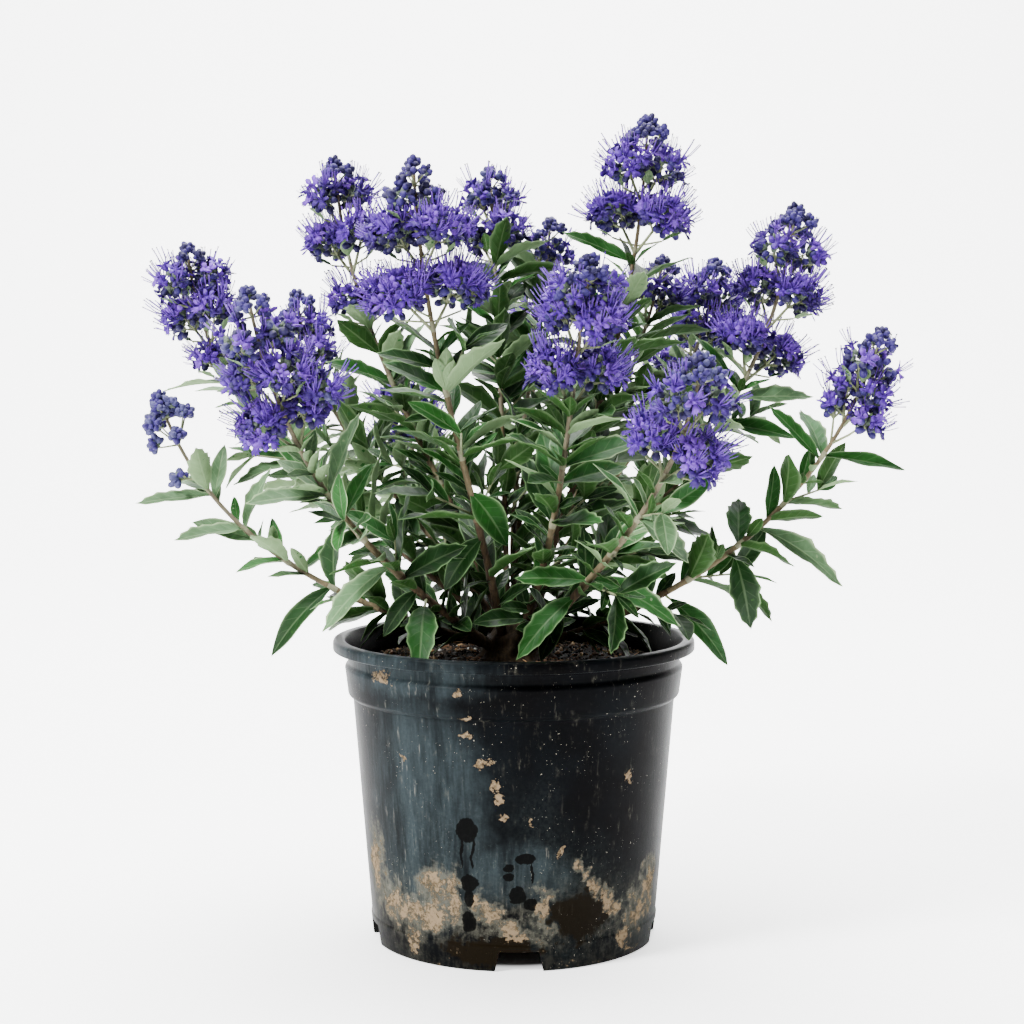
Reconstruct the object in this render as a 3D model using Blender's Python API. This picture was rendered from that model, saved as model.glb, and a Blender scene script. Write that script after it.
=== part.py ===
# Potted bluebeard (Caryopteris): a bushy shrub in flower in a round nursery pot.
# Metres, +Z up. The origin is on the pot's axis at the level of its underside. The view from the
# front looks along +Y, and azimuths are in degrees, anticlockwise from +X.

import math
import random
from collections import namedtuple

import bpy
from mathutils import Matrix, Vector
from mathutils.bvhtree import BVHTree

CLEAR = 0.0003

# Pot
LIP_RADIUS = 0.1100
LIP_TOP = 0.1833
LIP_BOTTOM = 0.1765
MOUTH_RADIUS = 0.1030
NECK_RADIUS = 0.1005
NECK_HEIGHT = 0.1690
COLLAR_TOP_RADIUS = 0.1029
COLLAR_BOTTOM_RADIUS = 0.1008
COLLAR_BOTTOM = 0.1500
BODY_TOP_RADIUS = 0.0979
BASE_RADIUS = 0.0862
WALL = 0.0019
FLOOR = 0.0025
CHANNEL_INNER = 0.0480
CHANNEL_OUTER = 0.0780
CHANNEL_HEIGHT = 0.0080
NOTCH_AZIMUTHS = (92, 193, 272, 351)
NOTCH_HEIGHT = 0.0120
NOTCH_WIDTH_TOP = 0.0230
NOTCH_WIDTH_BOTTOM = 0.0290
NOTCH_DEPTH = 0.0100
CHANNEL_SLOPE = 0.0030
EDGE_ROUND = 0.0012
LIP_ROUND = 0.0018
STEP_HEIGHT = 0.0022
POT_SIDES = 36
SHARP_ANGLE = 35

# Potting soil and the woody crown
SOIL_LEVEL = 0.1700
SOIL_SIDES = 28
SOIL_LUMP = 0.0016
CROWN_FOOT_RADIUS = 0.0225
CROWN_RADIUS = 0.0170
CROWN_HEIGHT = 0.0230
CROWN_SIDES = 12
STUB_LENGTH = 0.0060

# Limbs. The handle is how far the curve runs straight from either end, as a share of the span,
# and the taper is the power that thins a limb towards its tip.
LIMB_TIP_RADIUS = 0.0009
HANDLE = 0.38
TAPER = 0.85
PATH_STEPS = 64
TIP_CUT = 0.0040

# Leaves. A pair of numbers is the range that a leaf or a shoot draws its own value from: its size
# as a share, its arch as a share of its length, and its lean towards the stem's tip.
NODE_SPACING = 0.0350
LEAF_LENGTH = 0.0500
LEAF_TOP_LENGTH = 0.0380
LEAF_WIDTH = 0.36
LEAF_THICKNESS = 0.0009
LEAF_SIZE = (0.86, 1.12)
LEAF_ARCH = (0.05, 0.22)
LEAF_LEAN = (0.45, 0.95)
LEAF_TURN = 16
LEAF_TWIST = 40
LEAF_MARGIN = 0.0011
CHOSEN_ARCH = 0.10

# Leafy shoots
TWIG_FOOT_RADIUS = 0.0009
TWIG_TIP_RADIUS = 0.0007
TWIG_MARGIN = 0.0009
SHOOT_LENGTH = 0.0260
SHOOT_SIZE = (0.7, 1.25)
SHOOT_LEAN = (0.9, 1.4)
SHOOTS_UP_TO = 0.64
SHOOT_LEAF_SIZE = (0.62, 0.8)
SHOOT_LEAF_TURN = 20
SHOOT_LEAF_LEAN = 0.9
SHOOT_LEAF_ARCH = 0.12

# Tiers of flowers: the topmost is lower than the rest, and a stalked cluster is as high as this
# share of its radius
TIER_SIDES = 7
TIER_HEIGHT = 0.0290
TOP_TIER_SHARE = 0.62
STALKED_HEIGHT = 1.6

# Where a stem leaves the crown: distance from the axis and height above the soil
RINGS = {"outer": (0.0175, 0.0090), "middle": (0.0130, 0.0170), "inner": (0.0080, 0.0220)}

# Each stem from the crown to its topmost bud. Sizes are in millimetres and angles in degrees.
# azimuth, reach and top place the tip; rise and finish are the slope at the foot and at the tip;
# swing turns the foot's heading away from the azimuth. thick is the radius at the foot and bare
# the length without leaves. Each tier of flowers is its distance below the tip and its radius.
Stem = namedtuple("Stem", "name ring start azimuth reach top rise finish swing thick bare roll tiers")

STEMS = (
    Stem("low_left", "outer", 184, 180, 216, 332, 16, 73, 4, 2.3, 60, 80, ((9, 12), (22, 18))),
    Stem("front_left", "outer", 214, 214, 179, 392, 35, 79, -12, 2.8, 36, 20,
         ((9, 12), (27, 24), (49, 29), (75, 29))),
    Stem("far_left", "middle", 166, 168, 208, 424, 40, 87, -9, 2.5, 60, 60,
         ((9, 11), (22, 23), (44, 24), (70, 15))),
    Stem("tall_left", "inner", 160, 152, 128, 478, 55, 86, -27, 2.5, 58, 60,
         ((9, 12), (23, 22), (50, 27), (88, 19))),
    Stem("centre_left", "middle", 236, 226, 83, 468, 62, 87, 26, 2.6, 34, 10,
         ((9, 11), (21, 20), (42, 32), (76, 39))),
    Stem("rear_centre", "inner", 118, 99, 101, 476, 51, 68, -7, 2.2, 64, 80, ((9, 10), (21, 20), (46, 22))),
    Stem("rear_right", "inner", 76, 80, 142, 445, 46, 67, 18, 2.2, 68, 0, ((9, 12), (24, 18))),
    Stem("tallest", "inner", 10, 14, 84, 498, 70, 88, 5, 2.5, 58, 60, ((9, 15), (28, 27), (58, 33))),
    Stem("front_centre", "middle", 290, 293, 109, 410, 49, 71, 1, 2.6, 42, 50,
         ((9, 12), (20, 22), (35, 26), (66, 29))),
    Stem("upper_right", "middle", 12, 13, 180, 446, 43, 83, -10, 2.7, 52, 70,
         ((9, 15), (27, 25), (53, 28), (89, 30))),
    Stem("far_right", "outer", 354, 355, 221, 371, 18, 74, 1, 2.5, 56, 90, ((9, 11), (22, 20), (39, 20))),
    Stem("front_right", "outer", 306, 306, 174, 355, 41, 74, 1, 3.0, 30, 60,
         ((9, 14), (24, 26), (54, 29))),
    Stem("back_right", "middle", 46, 42, 179, 418, 59, 86, 11, 2.4, 66, 30, ((9, 12), (26, 24), (48, 22))),
    Stem("back_centre", "middle", 88, 84, 191, 423, 52, 72, 5, 2.4, 66, 10, ((9, 12), (25, 19), (46, 20))),
    Stem("inner_right", "inner", 40, 38, 122, 418, 62, 75, 6, 2.1, 66, 50, ((9, 11), (24, 18))),
    Stem("back_left", "middle", 130, 141, 185, 396, 48, 80, 0, 2.4, 56, 40, ((9, 12), (25, 20), (45, 18))),
    Stem("low_back", "outer", 112, 112, 214, 345, 28, 74, 0, 2.4, 52, 70, ((9, 12), (26, 24), (48, 26))),
    Stem("low_back_right", "outer", 62, 56, 212, 368, 30, 74, 0, 2.4, 52, 20,
         ((9, 12), (26, 24), (48, 24))),
)

# Clusters that stand off the stem on a stalk of their own: distance below the tip, azimuth,
# slope and length of the stalk, and the cluster's radius.
Stalk = namedtuple("Stalk", "stem drop azimuth slope length radius")

STALKS = (
    Stalk("low_left", 58, 190, 5, 13, 8),
    Stalk("far_right", 76, 60, 75, 23, 10),
    Stalk("far_right", 76, 330, 30, 26, 11),
    Stalk("front_left", 80, 330, 35, 32, 12),
)

# The leaves that show most, at the crown's edge and over the pot: distance from the stem's foot,
# heading, length and width of the blade, and length of the twig that carries it.
Leaf = namedtuple("Leaf", "stem distance azimuth slope length width twig")

FRONT_LEAF_UPPER = Vector((0, -0.75, 0.65))
LEAVES = (
    Leaf("far_right", 208, 0, -5, 51, 10, 0),
    Leaf("far_right", 205, 178, 50, 43, 10, 0),
    Leaf("far_right", 150, 352, -20, 59, 15, 0),
    Leaf("far_right", 130, 300, -60, 40, 19, 6),
    Leaf("far_right", 80, 340, -35, 50, 15, 6),
    Leaf("upper_right", 190, 0, 6, 48, 13, 0),
    Leaf("upper_right", 172, 352, -6, 47, 13, 0),
    Leaf("upper_right", 218, 2, 10, 51, 11, 0),
    Leaf("tallest", 231, 0, 21, 54, 11, 0),
    Leaf("tallest", 229, 180, 28, 46, 11, 0),
    Leaf("tall_left", 250, 180, 20, 38, 12, 0),
    Leaf("far_left", 226, 178, 12, 46, 9, 0),
    Leaf("low_left", 192, 182, -2, 46, 9, 0),
    Leaf("low_left", 190, 60, 75, 34, 10, 0),
    Leaf("low_left", 152, 184, 20, 42, 13, 0),
    Leaf("low_left", 100, 200, -34, 52, 14, 0),
    Leaf("front_left", 84, 192, -30, 52, 15, 0),
    Leaf("front_left", 52, 268, -14, 47, 18, 16),
    Leaf("front_left", 60, 215, -36, 31, 12, 0),
    Leaf("front_left", 72, 340, 32, 43, 17, 0),
    Leaf("centre_left", 66, 205, -40, 35, 15, 0),
    Leaf("centre_left", 95, 335, -42, 35, 19, 0),
    Leaf("centre_left", 206, 186, 18, 56, 13, 0),
    Leaf("front_right", 54, 205, -32, 45, 16, 0),
    Leaf("front_right", 72, 182, 5, 42, 15, 0),
    Leaf("front_right", 74, 350, -14, 55, 16, 0),
    Leaf("front_right", 40, 232, -44, 30, 13, 0),
)

for old in list(bpy.data.objects):
    bpy.data.objects.remove(old, do_unlink=True)


def makeMaterial(name, colour, roughness):
    material = bpy.data.materials.new(name)
    material.use_nodes = True
    shader = material.node_tree.nodes["Principled BSDF"]
    shader.inputs["Base Color"].default_value = (*colour, 1.0)
    shader.inputs["Roughness"].default_value = roughness
    shader.inputs["Metallic"].default_value = 0.0
    return material


PLASTIC = makeMaterial("pot plastic", (0.012, 0.014, 0.017), 0.45)
SOIL = makeMaterial("potting soil", (0.030, 0.020, 0.014), 0.95)
BARK = makeMaterial("bark", (0.120, 0.075, 0.045), 0.85)
LEAF = makeMaterial("leaf", (0.070, 0.150, 0.070), 0.65)
BLOSSOM = makeMaterial("blossom", (0.090, 0.060, 0.520), 0.60)


def makeObject(name, points, faces, material=None):
    mesh = bpy.data.meshes.new(name)
    mesh.from_pydata([tuple(point) for point in points], [], faces)
    mesh.validate()
    if material:
        mesh.materials.append(material)
    made = bpy.data.objects.new(name, mesh)
    bpy.context.scene.collection.objects.link(made)
    return made


def turned(profile, sides, ripple=None):
    """Points and faces of a closed solid of revolution, from its axis round to its axis."""
    points = [Vector((0, 0, profile[0][1]))]
    for radius, height in profile[1:-1]:
        for side in range(sides):
            angle = math.tau * side / sides
            lift = ripple(radius, angle, height) if ripple else 0.0
            points.append(Vector((radius * math.cos(angle), radius * math.sin(angle), height + lift)))
    points.append(Vector((0, 0, profile[-1][1])))
    rings = len(profile) - 2
    last = len(points) - 1
    faces = []
    for side in range(sides):
        after = (side + 1) % sides
        faces.append((0, 1 + after, 1 + side))
        for ring in range(rings - 1):
            low = 1 + ring * sides
            high = low + sides
            faces.append((low + side, low + after, high + after, high + side))
        top = 1 + (rings - 1) * sides
        faces.append((top + side, top + after, last))
    return points, faces


def joinWith(target, pieces, operation, solver):
    """Join the pieces to the target, or cut them from it, in one Boolean that is applied."""
    group = bpy.data.collections.new(target.name + "_pieces")
    bpy.context.scene.collection.children.link(group)
    for piece in pieces:
        bpy.context.scene.collection.objects.unlink(piece)
        group.objects.link(piece)
    boolean = target.modifiers.new("join", "BOOLEAN")
    boolean.operation = operation
    boolean.solver = solver
    boolean.operand_type = "COLLECTION"
    boolean.collection = group
    bpy.context.view_layer.update()
    evaluated = target.evaluated_get(bpy.context.evaluated_depsgraph_get())
    mesh = bpy.data.meshes.new_from_object(evaluated)
    target.modifiers.clear()
    old = target.data
    target.data = mesh
    bpy.data.meshes.remove(old)
    mesh.name = target.name
    for piece in pieces:
        bpy.data.objects.remove(piece, do_unlink=True)
    bpy.data.collections.remove(group)


def keepOneBody(target):
    """Drop loose scraps and fill sealed hollows, so that one closed body is left."""
    mesh = target.data
    owner = list(range(len(mesh.vertices)))

    def root(index):
        while owner[index] != index:
            owner[index] = owner[owner[index]]
            index = owner[index]
        return index

    for edge in mesh.edges:
        first, second = (root(index) for index in edge.vertices)
        owner[first] = second
    bodies = {}
    for face in mesh.polygons:
        bodies.setdefault(root(face.vertices[0]), []).append(face)
    largest = max(bodies.values(), key=len)
    points = [vertex.co.copy() for vertex in mesh.vertices]
    used = sorted({index for face in largest for index in face.vertices})
    place = {index: position for position, index in enumerate(used)}
    kept = bpy.data.meshes.new(target.name)
    kept.from_pydata([points[index] for index in used], [],
                     [[place[index] for index in face.vertices] for face in largest])
    for material in mesh.materials:
        kept.materials.append(material)
    target.data = kept
    bpy.data.meshes.remove(mesh)
    kept.name = target.name


def makePot():
    outer = [
        (0.0, 0.0),
        (CHANNEL_INNER, 0.0),
        (CHANNEL_INNER + CHANNEL_SLOPE, CHANNEL_HEIGHT),
        (CHANNEL_OUTER - CHANNEL_SLOPE, CHANNEL_HEIGHT),
        (CHANNEL_OUTER, 0.0),
        (BASE_RADIUS - EDGE_ROUND, 0.0),
        (BASE_RADIUS, EDGE_ROUND),
        (BODY_TOP_RADIUS, COLLAR_BOTTOM - STEP_HEIGHT),
        (COLLAR_BOTTOM_RADIUS, COLLAR_BOTTOM),
        (COLLAR_TOP_RADIUS, NECK_HEIGHT - STEP_HEIGHT),
        (NECK_RADIUS + 0.0004, NECK_HEIGHT),
        (NECK_RADIUS + EDGE_ROUND, LIP_BOTTOM),
        (LIP_RADIUS - 0.0010, LIP_BOTTOM),
        (LIP_RADIUS, LIP_BOTTOM + EDGE_ROUND),
        (LIP_RADIUS, LIP_TOP - LIP_ROUND),
        (LIP_RADIUS - LIP_ROUND, LIP_TOP),
    ]
    inner = [
        (MOUTH_RADIUS + 0.0006, LIP_TOP),
        (MOUTH_RADIUS - 0.0008, LIP_TOP - 0.0014),
        (NECK_RADIUS + 0.0004 - WALL, NECK_HEIGHT),
        (BODY_TOP_RADIUS - WALL, COLLAR_BOTTOM - 0.0040),
        (BASE_RADIUS - WALL, CHANNEL_HEIGHT + FLOOR),
        (CHANNEL_INNER, CHANNEL_HEIGHT + FLOOR),
        (CHANNEL_INNER - 0.0040, FLOOR),
        (0.0, FLOOR),
    ]
    pot = makeObject("pot", *turned(outer + inner, POT_SIDES), PLASTIC)
    cutters = []
    for azimuth in NOTCH_AZIMUTHS:
        low, high = NOTCH_WIDTH_BOTTOM / 2, NOTCH_WIDTH_TOP / 2
        near, far = CHANNEL_OUTER - NOTCH_DEPTH, BASE_RADIUS + NOTCH_DEPTH
        outline = ((-low, -0.002), (low, -0.002), (high, CHANNEL_HEIGHT), (-high, CHANNEL_HEIGHT))
        points = [Vector((distance, across, height))
                  for distance in (near, far) for across, height in outline]
        faces = [(3, 2, 1, 0), (4, 5, 6, 7), (0, 1, 5, 4), (1, 2, 6, 5), (2, 3, 7, 6), (3, 0, 4, 7)]
        turn = Matrix.Rotation(math.radians(azimuth), 4, "Z")
        cutters.append(makeObject("notch", [turn @ point for point in points], faces))
    joinWith(pot, cutters, "DIFFERENCE", "EXACT")
    keepOneBody(pot)
    pot.data.shade_smooth()
    pot.data.set_sharp_from_angle(angle=math.radians(SHARP_ANGLE))
    return pot


def soilLift(radius, angle, height):
    """Gentle lumps on the surface, none near the crown, at the wall or below."""
    if radius < CROWN_FOOT_RADIUS + 0.004 or height < SOIL_LEVEL - 0.0031:
        return 0.0
    return SOIL_LUMP * (math.sin(3 * angle + radius * 90) + math.sin(7 * angle - radius * 160))


def makeSoil():
    wall = BODY_TOP_RADIUS - WALL - CLEAR * 2
    foot = BASE_RADIUS - WALL - CLEAR * 2
    bottom = CHANNEL_HEIGHT + FLOOR + CLEAR
    neck = NECK_RADIUS + 0.0004 - WALL - CLEAR * 4
    profile = [
        (0.0, FLOOR + CLEAR),
        (CHANNEL_INNER - 0.0050, FLOOR + CLEAR),
        (CHANNEL_INNER - 0.0010, bottom),
        (foot, bottom),
        (wall, COLLAR_BOTTOM - 0.0044),
        (neck, SOIL_LEVEL - 0.0045),
        (0.085, SOIL_LEVEL - 0.0030),
        (0.060, SOIL_LEVEL - 0.0010),
        (0.040, SOIL_LEVEL - 0.0005),
        (CROWN_FOOT_RADIUS + 0.003, SOIL_LEVEL),
        (0.0, SOIL_LEVEL),
    ]
    return makeObject("soil", *turned(profile, SOIL_SIDES, soilLift), SOIL)


def heading(azimuth, slope):
    azimuth, slope = math.radians(azimuth), math.radians(slope)
    return Vector((math.cos(azimuth) * math.cos(slope), math.sin(azimuth) * math.cos(slope),
                   math.sin(slope)))


class Path:
    """A stem's centre line, read by the distance along it from the crown."""

    def __init__(self, stem):
        radius, height = RINGS[stem.ring]
        foot = heading(stem.start, 0) * radius + Vector((0, 0, SOIL_LEVEL + height))
        tip = heading(stem.azimuth, 0) * stem.reach * 0.001 + Vector((0, 0, stem.top * 0.001))
        handle = (tip - foot).length * HANDLE
        first = foot + heading(stem.azimuth + stem.swing, stem.rise) * handle
        second = tip - heading(stem.azimuth, stem.finish) * handle
        self.points = []
        for step in range(PATH_STEPS + 1):
            t = step / PATH_STEPS
            self.points.append(foot * (1 - t) ** 3 + first * 3 * t * (1 - t) ** 2
                               + second * 3 * t ** 2 * (1 - t) + tip * t ** 3)
        self.marks = [0.0]
        for before, after in zip(self.points, self.points[1:]):
            self.marks.append(self.marks[-1] + (after - before).length)
        self.length = self.marks[-1]
        self.thick = stem.thick * 0.001

    def at(self, distance):
        distance = min(max(distance, 0.0), self.length)
        for index in range(PATH_STEPS):
            if distance <= self.marks[index + 1]:
                share = (distance - self.marks[index]) / (self.marks[index + 1] - self.marks[index])
                return self.points[index].lerp(self.points[index + 1], share)
        return self.points[-1]

    def direction(self, distance):
        return (self.at(distance + 0.002) - self.at(distance - 0.002)).normalized()

    def radius(self, distance):
        share = distance / self.length
        return self.thick + (LIMB_TIP_RADIUS - self.thick) * share ** TAPER


def across(direction, turn):
    """A direction square to the given one, turned round it by degrees from its upper side."""
    side = direction.cross(Vector((0, 0, 1)))
    if side.length < 0.05:
        side = direction.cross(Vector((0, 1, 0)))
    side.normalize()
    upper = side.cross(direction)
    angle = math.radians(turn)
    return upper * math.cos(angle) + side * math.sin(angle)


def tube(points, radii, sides):
    """Points and faces of a closed tapering tube with flat ends."""
    made = []
    faces = []
    side = across((points[1] - points[0]).normalized(), 0)
    for index, point in enumerate(points):
        before = points[max(index - 1, 0)]
        after = points[min(index + 1, len(points) - 1)]
        along = (after - before).normalized()
        side = (side - along * side.dot(along)).normalized()
        other = along.cross(side)
        for step in range(sides):
            angle = math.tau * step / sides
            made.append(point + (side * math.cos(angle) + other * math.sin(angle)) * radii[index])
    for ring in range(len(points) - 1):
        for step in range(sides):
            low = ring * sides + step
            after = ring * sides + (step + 1) % sides
            faces.append((low, after, after + sides, low + sides))
    faces.append(tuple(range(sides - 1, -1, -1)))
    faces.append(tuple(range(len(made) - sides, len(made))))
    return made, faces


def leaf(foot, direction, upper, length, width, thickness, arch):
    """A thin folded blade, widest below the middle, that arches down towards its tip."""
    direction = direction.normalized()
    upper = (upper - direction * upper.dot(direction)).normalized()
    side = direction.cross(upper)

    def rib(share):
        return foot + direction * length * share - upper * length * arch * share ** 2

    half = width / 2
    fold = upper * half * 0.35
    points = [
        foot,
        rib(0.34) + side * half + fold,
        rib(0.70) + side * half * 0.72 + fold * 0.7,
        rib(1.0),
        rib(0.70) - side * half * 0.72 + fold * 0.7,
        rib(0.34) - side * half + fold,
        rib(0.48) + upper * thickness / 2,
        rib(0.48) - upper * thickness / 2,
    ]
    faces = []
    for corner in range(6):
        after = (corner + 1) % 6
        faces.append((6, corner, after))
        faces.append((7, after, corner))
    return points, faces


def tier(centre, axis, lobes, radius, height, chance):
    """A lumpy cushion of flowers round the stem, wider where its two opposite clusters stand."""
    ahead = across(axis, lobes)
    beside = axis.cross(ahead)
    points = [centre + axis * height * 0.5]
    for lift, share in ((0.38, 0.62), (0.06, 1.0), (-0.34, 0.76)):
        for step in range(TIER_SIDES):
            angle = math.tau * (step + (0.5 if lift == 0.06 else 0.0)) / TIER_SIDES
            reach = radius * share * (0.90 + 0.12 * math.cos(2 * angle)) * chance.uniform(0.93, 1.07)
            points.append(centre + (ahead * math.cos(angle) + beside * math.sin(angle)) * reach
                          + axis * height * (lift + chance.uniform(-0.05, 0.05)))
    points.append(centre - axis * height * 0.46)
    last = len(points) - 1
    faces = []
    for step in range(TIER_SIDES):
        after = (step + 1) % TIER_SIDES
        before = (step - 1) % TIER_SIDES
        top, middle, low = 1, 1 + TIER_SIDES, 1 + 2 * TIER_SIDES
        faces.append((0, top + step, top + after))
        faces.append((top + step, middle + step, top + after))
        faces.append((top + step, middle + before, middle + step))
        faces.append((middle + before, low + step, middle + step))
        faces.append((middle + step, low + step, low + after))
        faces.append((last, low + after, low + step))
    return points, faces


class Space:
    """What is placed so far, so that a new leaf, twig or cluster is put only where it is free."""

    def __init__(self):
        self.pieces = []

    def add(self, node, kind, points, faces):
        centre = sum(points, Vector()) / len(points)
        reach = max((point - centre).length for point in points)
        self.pieces.append((node, kind, centre, reach, BVHTree.FromPolygons(points, faces)))

    def free(self, node, points, faces, skipped):
        centre = sum(points, Vector()) / len(points)
        reach = max((point - centre).length for point in points)
        tree = BVHTree.FromPolygons(points, faces)
        for other, kind, middle, size, placed in self.pieces:
            if other == node and kind in skipped:
                continue
            if (middle - centre).length > reach + size:
                continue
            if kind == "cluster" and any((point - middle).length < size * 0.6 for point in points):
                return False
            if placed.overlap(tree):
                return False
        return True


def stretch(path, start, end, steps):
    distances = [start + (end - start) * step / steps for step in range(steps + 1)]
    return [path.at(distance) for distance in distances], [path.radius(distance) for distance in distances]


def planStem(stem):
    path = Path(stem)
    lowest = stem.tiers[-1][0] * 0.001 + TIER_HEIGHT * 0.5 + 0.003
    for stalk in STALKS:
        if stalk.stem == stem.name:
            lowest = max(lowest, stalk.drop * 0.001 + 0.004)
    return path, stem.bare * 0.001, path.length - lowest


def addFlowers(stem, path, space, node):
    """The tiers of flowers from the tip down, each square to the last, and the stalked clusters."""
    chance = random.Random(stem.name + " flowers")
    pieces = []
    for level, (drop, radius) in enumerate(stem.tiers):
        distance = path.length - drop * 0.001
        axis = path.direction(distance)
        height = TIER_HEIGHT * (TOP_TIER_SHARE if level == 0 else 1.0)
        cushion = tier(path.at(distance), axis, stem.roll + 90 * level, radius * 0.001, height, chance)
        space.add(node, "cluster", *cushion)
        pieces.append(cushion)
    for stalk in STALKS:
        if stalk.stem != stem.name:
            continue
        foot = path.at(path.length - stalk.drop * 0.001)
        direction = heading(stalk.azimuth, stalk.slope)
        centre = foot + direction * stalk.length * 0.001
        pieces.append(tube([foot, centre], [TWIG_FOOT_RADIUS, TWIG_TIP_RADIUS], 3))
        size = stalk.radius * 0.001
        cushion = tier(centre, direction, 0, size, size * STALKED_HEIGHT, chance)
        space.add(node, "cluster", *cushion)
        pieces.append(cushion)
    return pieces


def leafUpper(direction, axis, twist):
    """Blades turn their upper face to the stem's tip and to the sky, each with its own twist."""
    upper = axis * 0.6 + Vector((0, 0, 1)) * 0.7
    return Matrix.Rotation(math.radians(twist), 3, direction) @ upper


def tryLeaf(space, node, pieces, foot, direction, upper, length, width, arch):
    """Put a leaf where it is free, and say whether it was."""
    roomy = leaf(foot, direction, upper, length + LEAF_MARGIN, width + LEAF_MARGIN,
                 LEAF_THICKNESS + LEAF_MARGIN, arch)
    if not space.free(node, *roomy, ("limb",)):
        return False
    blade = leaf(foot, direction, upper, length, width, LEAF_THICKNESS, arch)
    space.add(node, "leaf", *blade)
    pieces.append(blade)
    return True


def addChosenLeaves(stem, path, space, node):
    pieces = []
    for chosen in LEAVES:
        if chosen.stem != stem.name:
            continue
        foot = path.at(chosen.distance * 0.001)
        direction = heading(chosen.azimuth, chosen.slope)
        if chosen.twig:
            end = foot + direction * chosen.twig * 0.001
            pieces.append(tube([foot, end], [TWIG_FOOT_RADIUS, TWIG_TIP_RADIUS], 3))
            foot = end - direction * 0.001
        tryLeaf(space, node, pieces, foot, direction, FRONT_LEAF_UPPER, chosen.length * 0.001,
                chosen.width * 0.001, CHOSEN_ARCH)
    return pieces


def addFoliage(stem, path, bare, bloom, space, node):
    """Opposite pairs of leaves, each pair square to the last, with short leafy shoots in their axils."""
    chance = random.Random(stem.name + " foliage")
    pieces = []
    count = max(2, round((bloom - bare - 0.010) / NODE_SPACING))
    spacing = (bloom - bare - 0.010) / count
    for level in range(count + 1):
        distance = bare + 0.005 + level * spacing
        share = distance / path.length
        axis = path.direction(distance)
        length = LEAF_LENGTH + (LEAF_TOP_LENGTH - LEAF_LENGTH) * max(0.0, share - 0.35) / 0.45
        for side in (0, 180):
            turn = chance.uniform(-LEAF_TURN, LEAF_TURN)
            outward = across(axis, stem.roll + 45 + 90 * level + side + turn)
            direction = outward + axis * chance.uniform(*LEAF_LEAN)
            size = length * chance.uniform(*LEAF_SIZE)
            upper = leafUpper(direction, axis, chance.uniform(-LEAF_TWIST, LEAF_TWIST))
            tryLeaf(space, node, pieces, path.at(distance), direction, upper, size,
                    size * LEAF_WIDTH, chance.uniform(*LEAF_ARCH))
            reach = SHOOT_LENGTH * chance.uniform(*SHOOT_SIZE)
            heads = (outward + axis * chance.uniform(*SHOOT_LEAN)).normalized()
            foot = path.at(distance + 0.002)
            ends = [foot, foot + heads * reach]
            radii = [TWIG_FOOT_RADIUS, TWIG_TIP_RADIUS]
            twig = tube(ends, radii, 3)
            roomy = tube(ends, [radius + TWIG_MARGIN for radius in radii], 3)
            if share > SHOOTS_UP_TO or not space.free(node, *roomy, ("limb",)):
                continue
            grown = []
            tip = foot + heads * (reach - 0.001)
            for turn in (0, 180):
                offset = chance.uniform(-SHOOT_LEAF_TURN, SHOOT_LEAF_TURN)
                beside = across(heads, stem.roll + turn + 90 * (level % 2) + offset)
                small = size * chance.uniform(*SHOOT_LEAF_SIZE)
                upper = leafUpper(beside, heads, chance.uniform(-LEAF_TWIST, LEAF_TWIST))
                tryLeaf(space, node, grown, tip, beside + heads * SHOOT_LEAF_LEAN, upper, small,
                        small * LEAF_WIDTH, SHOOT_LEAF_ARCH)
            if grown:
                space.add(node, "limb", *twig)
                pieces.append(twig)
                pieces.extend(grown)
    return pieces


def makeMass(name, core, pieces, material):
    mass = makeObject(name, *core, material)
    if pieces:
        joined = [makeObject(name + "_piece", points, faces) for points, faces in pieces]
        joinWith(mass, joined, "UNION", "MANIFOLD")
    keepOneBody(mass)
    return mass


def makeCrown(paths):
    profile = [
        (0.0, SOIL_LEVEL + CLEAR),
        (CROWN_FOOT_RADIUS, SOIL_LEVEL + CLEAR),
        (CROWN_RADIUS + 0.002, SOIL_LEVEL + 0.004),
        (CROWN_RADIUS, SOIL_LEVEL + 0.010),
        (CROWN_RADIUS * 0.75, SOIL_LEVEL + CROWN_HEIGHT * 0.8),
        (CROWN_RADIUS * 0.4, SOIL_LEVEL + CROWN_HEIGHT),
        (0.0, SOIL_LEVEL + CROWN_HEIGHT),
    ]
    stubs = []
    for path in paths:
        inside = path.at(0) - path.direction(0.002) * 0.006
        radii = [path.thick * 1.3, path.radius(STUB_LENGTH) * 1.08]
        stubs.append(makeObject("stub", *tube([inside, path.at(STUB_LENGTH)], radii, 6)))
    crown = makeObject("crown", *turned(profile, CROWN_SIDES), BARK)
    joinWith(crown, stubs, "UNION", "MANIFOLD")
    keepOneBody(crown)
    return crown


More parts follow.
